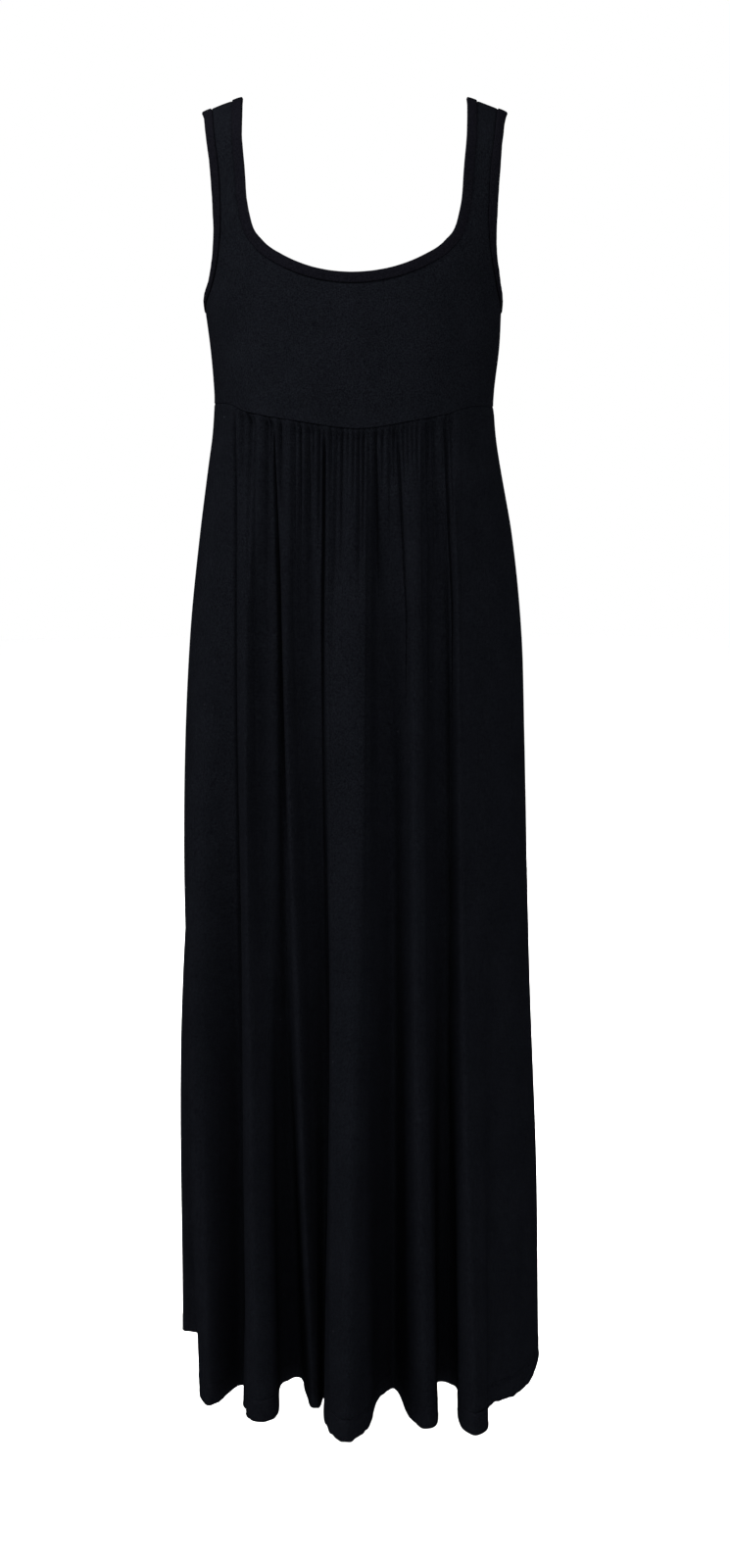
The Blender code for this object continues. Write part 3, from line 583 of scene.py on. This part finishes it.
def bodicePanel(name, node, back):
    strap, centre, side, down = (cells[k] for k in ("strap", "centre", "side", "down"))
    neck, seam = neckSeam(back), empireSeam(back)
    first, second = (1, -1) if back else (-1, 1)
    armFirst, armSecond = armSeam(first, back), armSeam(second, back)
    for edge, end in ((neck, 0), (neck, -1), (armFirst, -1), (armSecond, -1)):
        edge[end, 1] = form["seamGap"] / 2
    armFirst[0, 0], armSecond[0, 0] = seam[0, 0], seam[-1, 0]

    rows = side + cells["arm"]
    sideShares = np.linspace(0, 1, side + 1) ** bodiceLook["sideCrowding"]
    cornerFirst, cornerSecond = neck[down], neck[-1 - down]
    edgeFirst = np.vstack([straight(seam[0], armFirst[0], sideShares), armFirst[1:]])
    edgeSecond = np.vstack([straight(seam[-1], armSecond[0], sideShares), armSecond[1:]])
    u, v, even = eased(strap), eased(rows), np.linspace(0, 1, centre + 1)
    innerFirst = straight(seam[strap], cornerFirst, v)
    innerSecond = straight(seam[-1 - strap], cornerSecond, v)
    acrossFirst = straight(edgeFirst[rows], cornerFirst, u)
    acrossSecond = straight(cornerSecond, edgeSecond[rows], u)
    topFirst = straight(armFirst[-1], neck[0], u)
    topSecond = straight(neck[-1], armSecond[-1], u)
    upward = np.linspace(0, 1, down + 1)
    grids = [
        coons(seam[: strap + 1], acrossFirst, edgeFirst[: rows + 1], innerFirst, u, v),
        coons(seam[strap:-strap], neck[down : down + centre + 1], innerFirst, innerSecond, even, v),
        coons(seam[-1 - strap :], acrossSecond, innerSecond, edgeSecond[: rows + 1], u, v),
        coons(acrossFirst, topFirst, edgeFirst[rows:], neck[down::-1], u, upward),
        coons(acrossSecond, topSecond, neck[-1 - down :], edgeSecond[rows:], u, upward),
    ]
    # The sewn edges roll in and are turned under; those at the bands run on inside them
    edges = [seam, edgeFirst[: side + 1], edgeSecond[: side + 1], topFirst, topSecond]
    lines = [torsoPoint(edge) for edge in edges]
    cut = [torsoPoint(neck), torsoPoint(edgeFirst[side:]), torsoPoint(edgeSecond[side:])]

    def worn(spots):
        # The cloth's own points there, with its relief, and the directions out of it
        points, outward = torsoPoint(spots), torsoDirections(spots)[2]
        toSeam, toCut = np.minimum(edgeDistance(points, lines), 1), edgeDistance(points, cut)
        x, z = points[..., 0], points[..., 2]
        high, low = bodiceLook["drags"]
        drag = high * np.sin(95 * x + 38 * z + 0.7) * np.sin(31 * z - 12 * x + back)
        drag += low * np.sin(61 * x - 74 * z + 2.1)
        drag *= smoothStep(np.minimum(toSeam, toCut - bodiceLook["flatAtBand"]) / bodiceLook["dragFade"])
        groove = np.exp(-(((toCut - form["tuck"]) / bodiceLook["grooveWidth"]) ** 2))
        relief = drag - bodiceLook["groove"] * groove + rolled(toSeam)
        return points + outward * relief[..., None], outward

    made = [(worn(grid)[0], grid * bodiceLook["clothScale"]) for grid in grids]
    # The way towards the neighbouring piece, at each of the sewn edges
    asides = [torsoDirections(edge)[1] for edge in edges]
    asides[1], asides[2] = -torsoDirections(edges[1])[0], torsoDirections(edges[2])[0]
    asides[3], asides[4] = -asides[3], -asides[4]
    for edge, aside in zip(edges, asides):
        made.append(turnedIn(*worn(edge), unit(aside), edge * bodiceLook["clothScale"]))
    obj = finishMesh(name, gridMesh(name, made), jersey, node)
    addWall(obj)
    return obj, lines[0]


bodiceFront, frontSeam = bodicePanel("bodiceFront", "bodice_front", False)
bodiceBack, backSeam = bodicePanel("bodiceBack", "bodice_back", True)
print("bodice", len(bodiceFront.data.vertices), len(bodiceBack.data.vertices))


# ---------- bindings

bandForm = {
    "layer": 0.6 * mm,
    "room": 0.45 * mm,  # half of what lies between its layers
    "middle": -0.35 * mm,  # where the strip's middle lies, out from the form
    "crown": 0.3 * mm,  # how much rounder the outer layer is
    "points": (11, 9, 7),  # on the outer layer, round the fold and on the inner layer
}
stitching = {
    "length": 2.1 * mm,
    "width": 0.36 * mm,
    "unevenness": 0.07,  # radians
    "seed": 5,
    "bandInset": 1.4 * mm,  # from a band's lower edge
    "bandLift": 0.8 * mm,
    "bandPitch": 2.6 * mm,
    "hemRows": (18.5, 21.5),  # millimetres above the hem
    "hemLift": 0.12 * mm,
    "hemPitch": 2.8 * mm,
}
stitchRows = []


def bandSection(width):
    # A folded strip: the outer layer, the fold at the opening, the inner layer, and back inside
    layer, inner = bandForm["layer"], bandForm["room"]
    outer = inner + layer
    onOuter, onFold, onInner = bandForm["points"]
    section = []
    for half, direction in ((outer, 1), (inner, -1)):
        fold = [(half - half * math.sin(a), half * math.cos(a)) for a in np.linspace(0, math.pi, onFold)]
        start = [(s, half) for s in np.linspace(width, half, onOuter)[:-1]]
        end = [(s, -half) for s in np.linspace(half, width, onInner)[1:]]
        path = [(s + (layer if half == inner else 0) * (s <= half), n) for s, n in start + fold + end]
        section += path[::direction]
    s, n = np.array(section + section[:1]).T
    crown = bandForm["crown"] * np.sin(math.pi * np.clip(s / width, 0, 1)) * (n > 0)
    return s, n + bandForm["middle"] + crown


def binding(name, node, loop, inward, width, cycles):
    # The strip swept round an opening. The cycles are small waves in it: how many go round,
    # how high they are and where they start.
    around = np.arange(len(loop)) / len(loop) * 2 * math.pi
    wave = sum(size * np.sin(count * around + shift) for count, size, shift in cycles)
    rows = []
    for share, lift in zip(*bandSection(width)):
        spots = slide(loop, inward, share)
        rows.append(torsoPoint(spots) + torsoDirections(spots)[2] * (lift + wave)[:, None])
    points = np.stack(rows)
    along, girth = runningLength(points[0]), runningLength(points[:, 0])
    uv = np.stack(np.broadcast_arrays(along[None, :], girth[:, None]), axis=-1)
    obj = finishMesh(name, gridMesh(name, [(points, uv)], closed=True), bandJersey, node)
    # The row of stitches that holds the band
    spots = slide(loop, inward, width - stitching["bandInset"])
    outer = torsoDirections(spots)[2]
    line = torsoPoint(spots) + outer * (wave + stitching["bandLift"])[:, None]
    stitchRows.append((looped(line), looped(outer), stitching["bandPitch"]))
    # The strip is as long as the middle of its outer layer
    return obj, pathLength(looped(points[bandForm["points"][0] // 2]))


neckBinding, neckLength = binding(
    "neckBinding", "neck_binding", neckLoop, neckInward, form["neckBand"],
    [(47, 0.00008, 0.3), (83, 0.00007, 1.9), (131, 0.00006, 4.0)],
)
armLeft, armLeftLength = binding(
    "leftArmBinding", "armhole_binding_left", armLoops[1], armInward[1], form["armBand"],
    [(23, 0.00008, 1.3), (41, 0.00007, 0.2), (57, 0.00005, 2.0)],
)
armRight, armRightLength = binding(
    "rightArmBinding", "armhole_binding_right", armLoops[-1], armInward[-1], form["armBand"],
    [(19, 0.00008, 2.2), (37, 0.00007, 3.4), (61, 0.00005, 0.5)],
)
print("bindings", round(neckLength, 3), round(armLeftLength, 3), round(armRightLength, 3))


# ---------- skirt

# Lines of the folds, in millimetres: their place across at four heights and how far they
# stand out from the form there. A line runs smoothly through these places. A place of None
# is the side of the form. A fold's columns reach to the next one.
skirtLook = {
    "hold": 0.060,  # how far below the seam the folds have left the form
    "rows": 98,  # down to the hem part, and crowded towards the seam
    "crowding": 1.35,
    "hemPart": 0.034,
    "hemRows": (28, 25, 23, 21.5, 20, 18.5, 17, 14, 10, 6, 3, 1.2, 0.4, 0),  # millimetres up
    "rounding": 0.05,  # how far below the seam the ridges are fully rounded
    "loose": 0.0007,  # how far out the gathered cloth stands, just below the seam
    "looseLength": 0.1,
    "driftStart": 0.08,  # how far below the seam the cloth is as uneven as it gets
    "rippleReach": 0.028,
    "hemRound": 0.45 * mm,  # how far the cloth stops short of the hem, to turn in
    # Depth in from the cloth and height above its end, in millimetres, as it turns up inside
    "hemFold": ((0.3, -0.3), (0.9, -0.45), (1.4, 0.1), (1.6, 1.5), (1.6, 8.0), (1.6, 15.0), (1.6, 22.0)),
}
foldHeights = (-0.300, -0.520, -0.900, -1.300)
frontFolds = [
    # columns, at seam, at hip, at knee, at hem, out at hip, out at knee, out at hem
    (2, None, None, None, None, 0, 0, 0),  # left side seam
    (3, -136.5, -160, -166.5, -158, 12, 68, 58),  # first flute, edge
    (3, -126.5, -148, -152, -148, 7, 26, 44),  # first flute, crest
    (4, -117, -118, -117, -118, -7, -32, -40),  # first valley
    (3, -106.5, -109, -111.5, -113.5, 4, -6, 13),  # second flute, edge
    (4, -98, -104.5, -104.5, -99, 7, 9, 28),  # second flute, crest
    (3, -86, -94, -89, -80.5, -6, -8, 10),  # second flute, slope
    (2, -79.5, -75.5, -76.5, -77, -6, -22, -68),  # second valley
    (2, -75, -71.5, -67, -58, -8, -32, -88),  # second valley, end
    (4, -67.5, -68, -61, -50, 3, -8, -38),  # third flute, edge
    (4, -55, -64, -54.5, -43, 6, 2, -18),  # third flute, crest
    (4, -42, -51, -43, -36.5, -8, -16, -20),  # third flute, slope
    (3, -31, -33.5, -29.5, -32.5, -5, -26, -42),  # third valley
    (8, -24.5, -27, -23.5, -28.5, 3, 6, 20),  # fourth flute, edge
    (4, 0, 1, -2, -8, 9, 19, 51),  # fourth flute, crest
    (2, 12, 11.5, 8, 15, 8, 14, 16),  # fourth flute, slope
    (5, 18, 22, 24, 24, -10, -12, -43),  # fourth valley
    (4, 31, 35, 38.5, 40, -10, -28, -66),  # fourth valley, end
    (5, 43, 48, 49.5, 55.7, 2, -6, 3),  # fifth flute, edge
    (4, 57, 57, 60, 70, 9, 12, 27),  # fifth flute, crest
    (2, 67, 66, 71, 81.5, 6, 8, 22),  # fifth flute, slope
    (2, 74, 76, 83, 86.5, -10, -20, -73),  # fifth valley
    (3, 81.5, 87.5, 90.5, 103, -10, -24, -57),  # fifth valley, end
    (3, 89, 94, 98.5, 107, 2, -4, 34),  # sixth flute, edge
    (3, 97, 100, 106.5, 119.5, 6, 13, 56),  # sixth flute, crest
    (3, 107, 117, 121, 131.5, 1, 8, 50),  # sixth flute, slope
    (3, 118, 130, 137, 137, 0, -2, 3),  # sixth valley
    (3, 130, 155, 166, 170, 0, 0, 2),  # seventh flute
]
backFolds = [
    (3, None, None, None, None, 0, 0, 0),  # right side seam
    (4, 124, 149, 163, 174, 2, 6, 14),  # first flute
    (3, 109, 131, 143, 151, -2, -8, -26),  # first valley
    (3, 93, 113, 124, 133, 3, 10, 22),  # second flute, edge
    (4, 74, 88, 98, 103, 2, 6, 20),  # second flute, slope
    (3, 57, 66, 73, 76, -4, -20, -52),  # second valley
    (4, 42, 50, 53, 54, 3, 14, 36),  # third flute
    (3, 25, 29, 31, 30, -1, -5, -18),  # third valley
    (3, 10, 12, 12, 10, 3, 13, 26),  # fourth flute, edge
    (4, -11, -13, -13, -16, 3, 11, 30),  # fourth flute, slope
    (3, -32, -38, -41, -43, -4, -21, -56),  # fourth valley
    (4, -49, -59, -64, -62, 3, 13, 30),  # fifth flute
    (3, -67, -81, -87, -89, 1, 3, 16),  # fifth flute, slope
    (3, -82, -98, -107, -109, -3, -14, -36),  # fifth valley
    (3, -97, -115, -126, -129, 1, 4, 12),  # sixth flute
    (3, -108, -129, -147, -153, -1, 4, 14),  # sixth valley
    (3, -119, -141, -170, -176, 0, 68, 86),  # left flute, back
    (3, -129, -152, -185, -191.5, 2, 44, 58),  # left flute
    (2, -136.5, -160.5, -173.5, -173, 0, 26, 48),  # left flute, front
]
folds = frontFolds + backFolds
atSide = np.array([fold[1] is None for fold in folds])
isBack = np.arange(len(folds)) >= len(frontFolds)
places = np.array([[0.0] * 4 if fold[1] is None else fold[1:5] for fold in folds]) * mm
standOut = np.array([(0.0,) + fold[5:] for fold in folds]) * mm


def foldDepths():
    # How far each fold's line is from the side seams, to the front or back, at its heights
    at = np.array(foldHeights)
    share = np.minimum(np.abs(places) / halfWidth(places, at), 1)
    depth = np.where(isBack[:, None], formAt(at, "back"), formAt(at, "front"))
    depth = depth * np.sqrt(1 - share * share) * (1 + form["boxy"] * share * share)
    return (depth + standOut) * np.where(isBack[:, None], 1, -1)


depths = foldDepths()


def foldPlace(number, height):
    number = number % len(folds)
    weights = np.stack([smoothCurve(foldHeights, own, height) for own in np.eye(4)], axis=-1)
    x = (weights * places[number]).sum(axis=-1)
    y = (weights * depths[number]).sum(axis=-1)
    side = np.where(isBack[number], formAt(height, "right"), -formAt(height, "left"))
    return np.stack([np.where(atSide[number], side, x), np.where(atSide[number], 0, y)], axis=-1)


def onForm(place, height):
    # The form's own point in the direction of this place, seen from above
    x, y = place[..., 0], place[..., 1]
    width = halfWidth(x, height)
    depth = np.where(y > 0, formAt(height, "back"), formAt(height, "front"))
    angle = np.arctan2(x, -y)
    for _ in range(6):
        angle = np.arctan2(x / width, -y / depth / (1 + form["boxy"] * np.sin(angle) ** 2))
    y = -depth * np.cos(angle) * (1 + form["boxy"] * np.sin(angle) ** 2)
    return np.stack([width * np.sin(angle), y], axis=-1)


def skirtPlace(ring, height, below):
    index = np.floor(ring).astype(int)
    t = (ring - index)[..., None] * np.ones(height.shape + (1,))
    index = index * np.ones(height.shape, int)
    place = between(*(foldPlace(index + k, height) for k in (-1, 0, 1, 2)), t)
    hold = smoothStep(below / skirtLook["hold"])[..., None]
    return onForm(place, height) * (1 - hold) + place * hold


# A fold's columns, each divided once more: by 4 in the middle of the front, where the folds
# are narrow, and by 5 elsewhere
middleFirst, middleLast = 3, 24
ring = []
for i, fold in enumerate(folds):
    count = fold[0] * (4 if middleFirst <= i < middleLast else 5)
    ring += list(i + np.arange(count) / count)
ring = np.array(ring)
seamColumn = int(np.flatnonzero(ring == len(frontFolds))[0])
ring = ring[None, :]

seams = [seam[np.argsort(seam[:, 0])] for seam in (frontSeam, backSeam)]
columnIsBack = ring[0] >= len(frontFolds)
top = skirtPlace(ring, np.full(ring.shape, empireFront[0][1] * mm), np.zeros(ring.shape))
for _ in range(3):
    onFrontSeam, onBackSeam = (np.interp(top[0, :, 0], seam[:, 0], seam[:, 2]) for seam in seams)
    topHeight = np.where(columnIsBack, onBackSeam, onFrontSeam) - form["seamGap"]
    top = skirtPlace(ring, topHeight[None], np.zeros(ring.shape))

full = topHeight - form["hem"]
rowShares = np.linspace(0, 1, skirtLook["rows"]) ** skirtLook["crowding"]
above = np.array(skirtLook["hemRows"]) * mm
below = np.vstack([rowShares[:, None] * (full - skirtLook["hemPart"]), full - above[:, None]])
height = topHeight - below
skirt = skirtPlace(ring, height, below)
for _ in range(3):
    rounded = (np.roll(skirt, 1, axis=1) + 2 * skirt + np.roll(skirt, -1, axis=1)) / 4
    skirt = skirt + (rounded - skirt) * smoothStep(below / skirtLook["rounding"])[..., None]

# Cloth coordinates: metres across at the hem, and metres below the empire seam
across = runningLength(looped(skirt[-1]))
uAcross = np.broadcast_to(across[:-1], below.shape)

tangent = unit(np.roll(skirt, -1, axis=1) - np.roll(skirt, 1, axis=1))
outward = np.stack([tangent[..., 1], -tangent[..., 0]], axis=-1)

# Creases that start at the gathered seam, in millimetres: the place across at the seam and
# 180 below it, how long the crease is, its depth, and how far it reaches on its left and
# right. A short one is a gather. A long one runs on along a fold, and has two things more:
# the depth of the slit where the cloth doubles back on itself, and its places 560 and 990
# below the seam.
creaseHeights = (0, 180, 560, 990)
creases = [
    (-116.5, -115.6, 1500, 2, 4, 1.2, 6, -114.6, -113),
    (-109.5, -107, 34, 1.3, 1.5, 1.6),
    (-102.8, -103.5, 70, 1.5, 1.4, 2),
    (-97.6, -99, 420, 2.4, 3.6, 3, 0.6, -92, -92),
    (-86, -84.5, 95, 1.5, 2.5, 2.2),
    (-81.2, -81, 24, 1.1, 1.2, 1.2),
    (-78.5, -72.3, 1300, 2.3, 5, 1.2, 5.5, -62.5, -50),
    (-71.6, -68, 42, 1.4, 1.5, 1.6),
    (-58.6, -59, 380, 2.5, 1.6, 4.5, 0.8, -50, -50),
    (-52.6, -52, 55, 1.5, 1.5, 1.3),
    (-45.2, -43, 95, 1.5, 1.8, 2.8),
    (-39.8, -40, 28, 1.1, 1.2, 1.3),
    (-34.2, -34, 50, 1.3, 1.3, 1.5),
    (-28.8, -30.2, 1500, 2.4, 5, 1.2, 6, -27, -28),
    (-22.8, -23, 26, 1.2, 1.2, 1.4),
    (-17.2, -20, 230, 2.3, 1.8, 3.6),
    (-11.6, -12, 60, 1.4, 1.6, 1.2),
    (-6.2, -6, 24, 1, 1.2, 1.3),
    (-0.9, -1, 30, 1.1, 1.3, 1.2),
    (4.1, 4, 62, 1.4, 1.5, 1.3),
    (8.8, 8, 50, 1.4, 1.2, 1.5),
    (13.5, 12.6, 700, 2.6, 1.2, 5.5, 1, 9, 9),
    (20.6, 21.5, 66, 1.5, 1.6, 1.3),
    (27, 27, 24, 1.1, 1.2, 1.3),
    (33.4, 35, 150, 2, 2.2, 3.2),
    (38.2, 39, 22, 1.1, 1.2, 1.2),
    (42, 50.8, 420, 2.1, 4, 1.2, 2.5, 50, 50),
    (46.6, 52, 30, 1.2, 1.3, 1.3),
    (51, 55, 20, 1, 1.2, 1.2),
    (55.4, 59, 18, 0.9, 1.2, 1.2),
    (60, 62, 22, 1, 1.2, 1.2),
    (65.2, 66, 700, 2.5, 1.2, 6, 1, 71, 71),
    (70.4, 71, 40, 1.4, 1.5, 1.6),
    (76.4, 79, 72, 1.4, 1.4, 1.4),
    (87, 95.3, 1400, 2.3, 4, 1.2, 5.5, 96.5, 97),
    (88.4, 95, 26, 1.2, 1.2, 1.2),
    (92.4, 97, 40, 1.4, 1.2, 1.5),
    (102.5, 104, 600, 1, 1.4, 6, 0, 113, 113),
]
# What is under a length in millimetres is drawn stronger than the table has it
gatherUnder, gatherDeeper, gatherLonger, gatherWider = 120, 5.6, 2.6, 1.3
creaseUnder, creaseDeeper = 500, 2.4
slitReach, lipPlace, lipReach, lipShare = 1.7, 4.2, 2.2, 0.3
slitStart, creaseStart, seamShare = 0.03, 0.009, 0.2


def creased(x, below):
    # How far the creases push the cloth in, at places across the front
    depth = np.zeros(x.shape)
    for atSeam, lower, length, deep, left, right, *more in creases:
        slit, *low = more or [0]
        values = [atSeam, lower, *low]
        away = x / mm - np.interp(below / mm, creaseHeights[: len(values)], values)
        if length < gatherUnder:
            deep, length = deep * gatherDeeper, length * gatherLonger
            left, right = left * gatherWider, right * gatherWider
        elif length < creaseUnder:
            deep *= creaseDeeper
        shape = deep * np.exp(-np.abs(away) / np.where(away < 0, left, right))
        # A slit is narrow and flat at its bottom, and the cloth beside it rolls over in a lip
        lip = lipShare * np.exp(-(((away - lipPlace) / lipReach) ** 2))
        shape += slit * (np.exp(-((away / slitReach) ** 4)) - lip) * smoothStep(below / slitStart)
        depth += mm * shape * np.clip(1 - below / mm / length, 0, 1) ** 0.7
    return depth * (seamShare + (1 - seamShare) * smoothStep(below / creaseStart))


onFront = (ring[0] < len(frontFolds)) & (ring[0] > 1)
loose = smoothStep(below / 0.01) * np.clip(1 - below / skirtLook["looseLength"], 0, 1)
gathers = np.where(onFront, skirtLook["loose"] * loose, 0)
pushed = np.where(onFront, creased(skirt[..., 0], below), 0)
facing = unit(np.stack([skirt[..., 0] / halfWidth(skirt[..., 0], height) ** 2,
                        skirt[..., 1] / formAt(height, "front") ** 2], axis=-1))

# Long soft unevenness in the hanging cloth
drift = np.zeros(below.shape)
for waves, slant, size in ((27, 2.2, 0.5), (41, 3.4, 0.45), (64, 1.3, 0.3), (88, 4.1, 0.22), (19, 6, 0.35)):
    drift += size * mm * np.sin(waves * uAcross + slant * below * 2 + rng.uniform(0, 6.28))
drift *= smoothStep(below / skirtLook["driftStart"])

# The hem's stitches pull the cloth in a little, and its double cloth stands out
toHem = full - below
dipPlace, dipDepth, dipWidth = 0.020, 0.00025, 0.0014
doubleTop, doubleOut, doubleFade = 0.021, 0.0003, 0.003
hemShape = -dipDepth * np.exp(-(((toHem - dipPlace) / dipWidth) ** 2))
hemShape += doubleOut * smoothStep((doubleTop - toHem) / doubleFade)
proud = gathers + drift + hemShape + rolled(below)
skirt = skirt + outward * proud[..., None] - facing * pushed[..., None]
# The stretched stitching lets the hem ripple a little, more on some stretches than on others
ripple = sum(size * mm * np.sin(waves * uAcross + 5 * np.sin(11 * uAcross) + shift)
             for waves, size, shift in ((310, 0.45, 0.4), (540, 0.35, 2.0), (97, 0.5, 4.1)))
ripple *= 0.6 + 0.4 * np.sin(23 * uAcross)
height = height + ripple * smoothStep(1 - toHem / skirtLook["rippleReach"])
skirt = np.concatenate([skirt, height[..., None]], axis=-1)
outward = np.concatenate([outward, np.zeros(outward.shape[:2] + (1,))], axis=-1)


def skirtPanel(name, node, first, last):
    columns = np.arange(first, last + 1) % skirt.shape[1]
    points, out = skirt[:, columns].copy(), outward[:, columns]
    u = np.broadcast_to(across[first : last + 1], points.shape[:2])
    uv = np.stack([u, -below[:, columns]], axis=-1)
    sides = []
    for end, inner in ((0, 2), (-1, -3)):
        way = unit(points[:, inner] - points[:, end])
        points[:, end] += way * form["seamGap"] / 2
        sides.append(turnedIn(points[:, end], out[:, end], -way, uv[:, end]))
    top = turnedIn(points[0], out[0], np.array([0, 0, 1.0]), uv[0])
    # The hem is turned up once inside, and its cut edge is sewn down
    points[-1, :, 2] += skirtLook["hemRound"]
    hem = [points[-1]]
    for depth, up in skirtLook["hemFold"]:
        hem.append(points[-1] - out[-1] * depth * mm + [0, 0, up * mm])
    hem = np.stack(hem), np.stack([uv[-1] - [0, 0.0004 * k] for k in range(len(hem))])
    made = [(points[::-1], uv[::-1]), top, *sides, hem]
    obj = finishMesh(name, gridMesh(name, made), jersey, node)
    addWall(obj)
    return obj, points


skirtFront, frontPoints = skirtPanel("skirtFront", "skirt_front", 0, seamColumn)
skirtBack, backPoints = skirtPanel("skirtBack", "skirt_back", seamColumn, skirt.shape[1])


# ---------- stitches

# Two rows go round the hem, just below the cut edge inside
for up in stitching["hemRows"]:
    number = int(np.argmin(np.abs(above / mm - up))) + len(rowShares)
    line, outer = looped(skirt[number]), looped(outward[number])
    stitchRows.append((line + outer * stitching["hemLift"], outer, stitching["hemPitch"]))


def stitchTree():
    # One stitch of thread at each point of a mesh, turned as the point's attribute says
    tree = bpy.data.node_groups.new("row of stitches", "GeometryNodeTree")
    tree.interface.new_socket(name="Geometry", in_out="OUTPUT", socket_type="NodeSocketGeometry")
    for name, kind in (("Geometry", "Geometry"), ("Stitch length", "Float"), ("Thread width", "Float"),
                       ("Unevenness", "Float"), ("Seed", "Int"), ("Thread", "Material")):
        tree.interface.new_socket(name=name, in_out="INPUT", socket_type="NodeSocket" + kind)
    given = addNode(tree, "NodeGroupInput").outputs
    turn = addNode(tree, "GeometryNodeInputNamedAttribute", {"data_type": "FLOAT_VECTOR"}, Name="turn")
    uneven = addNode(tree, "FunctionNodeRandomValue", {"data_type": "FLOAT"}, Seed=given["Seed"],
                     i2=maths(tree, "MULTIPLY", given["Unevenness"], -1.0), i3=given["Unevenness"])
    turned = addNode(tree, "ShaderNodeVectorMath", {"operation": "ADD"}, i0=turn, i1=uneven.outputs[1])
    rotation = addNode(tree, "FunctionNodeEulerToRotation", Euler=turned)
    size = addNode(tree, "ShaderNodeCombineXYZ", X=given["Thread width"], Y=given["Thread width"],
                   Z=given["Stitch length"])
    bead = addNode(tree, "GeometryNodeMeshUVSphere", Segments=6, Rings=4, Radius=0.5)
    soft = addNode(tree, "GeometryNodeSetShadeSmooth", Geometry=bead)
    placed = addNode(tree, "GeometryNodeInstanceOnPoints", Points=given["Geometry"], Instance=soft,
                     Rotation=rotation, Scale=size)
    real = addNode(tree, "GeometryNodeRealizeInstances", Geometry=placed)
    threaded = addNode(tree, "GeometryNodeSetMaterial", Geometry=real, Material=given["Thread"])
    addNode(tree, "NodeGroupOutput", Geometry=threaded)
    return tree


def stitchPoints(line, outer, pitch):
    # Places and turns of the stitches along a line on the cloth
    lengths = runningLength(line)
    count = round(lengths[-1] / pitch)
    middles = (np.arange(count) + 0.5) * lengths[-1] / count
    spot, ahead, up = (np.stack([np.interp(at, lengths, data[:, k]) for k in range(3)], axis=-1)
                       for at, data in ((middles, line), (middles + pitch / 4, line), (middles, outer)))
    turns = []
    for way, normal in zip(ahead - spot, up):
        along = Vector(way).normalized()
        side = Vector(normal).cross(along).normalized()
        turns.append(Matrix((side, along.cross(side), along)).transposed().to_euler())
    return spot, np.array(turns)


made = [stitchPoints(*row) for row in stitchRows]
data = bpy.data.meshes.new("stitches")
data.from_pydata(np.vstack([spot for spot, _ in made]).tolist(), [], [])
data.attributes.new("turn", "FLOAT_VECTOR", "POINT").data.foreach_set(
    "vector", np.vstack([turns for _, turns in made]).ravel())
stitches = addObject("stitches", data)
sewing = stitches.modifiers.new("sewing", "NODES")
sewing.node_group = stitchTree()
stitchInputs = {"Stitch length": stitching["length"], "Thread width": stitching["width"],
                "Unevenness": stitching["unevenness"], "Seed": stitching["seed"], "Thread": thread}
for socket in sewing.node_group.interface.items_tree:
    if socket.name in stitchInputs:
        socket.default_value = sewing[socket.identifier] = stitchInputs[socket.name]
whole = bpy.data.meshes.new_from_object(stitches.evaluated_get(bpy.context.evaluated_depsgraph_get()))
stitches.modifiers.remove(sewing)
stitches.data = whole
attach(stitches, "root")
print("stitches", sum(len(turns) for _, turns in made), "faces", len(whole.polygons))


# ---------- floor, light and camera

floorHeight, floorRadius = -1.42, 9.0
floorData = bpy.data.meshes.new("floor")
work = bmesh.new()
bmesh.ops.create_circle(work, cap_ends=True, segments=96, radius=floorRadius)
for vert in work.verts:
    vert.co.z = floorHeight
work.to_mesh(floorData)
work.free()
floor = addObject("floor", floorData)
paper, _ = newMaterial("matt white paper", Base_Color=(0.94, 0.94, 0.94, 1), Roughness=0.95,
                       Specular_IOR_Level=0.1)
floorData.materials.append(paper)

world = bpy.data.worlds.new("studio")
scene.world = world
world.use_nodes = True
sky = world.node_tree.nodes["Background"].inputs
sky["Color"].default_value = (1, 1, 1, 1)
sky["Strength"].default_value = 1.0


def softbox(name, place, aim, size, power):
    data = bpy.data.lights.new(name, "AREA")
    data.shape = "RECTANGLE"
    data.size, data.size_y = size
    data.energy = power
    obj = addObject(name, data)
    obj.location = place
    obj.rotation_euler = (Vector(aim) - Vector(place)).to_track_quat("-Z", "Y").to_euler()


softbox("key from the upper left", (-1.6, -0.85, 1.3), (0, 0, -0.2), (1.0, 1.0), 262)
softbox("fill over the camera", (0.3, -2.1, 0.9), (0, 0, -0.2), (1.4, 0.8), 118)
softbox("fill from the upper right", (1.3, -1.2, 1.3), (0, 0, -0.25), (1.0, 1.0), 52)
softbox("fill for the back", (1.3, 2.9, 0.3), (0, 0, -0.6), (1.4, 1.4), 260)

camera = addObject("camera", bpy.data.cameras.new("camera"))
camera.location = (0.010, -2.15, -0.31)
camera.rotation_euler = (math.radians(90 - 9.7), 0, 0)
camera.data.sensor_width = 36
camera.data.lens = 48.67
scene.camera = camera
scene.view_settings.view_transform = "Standard"
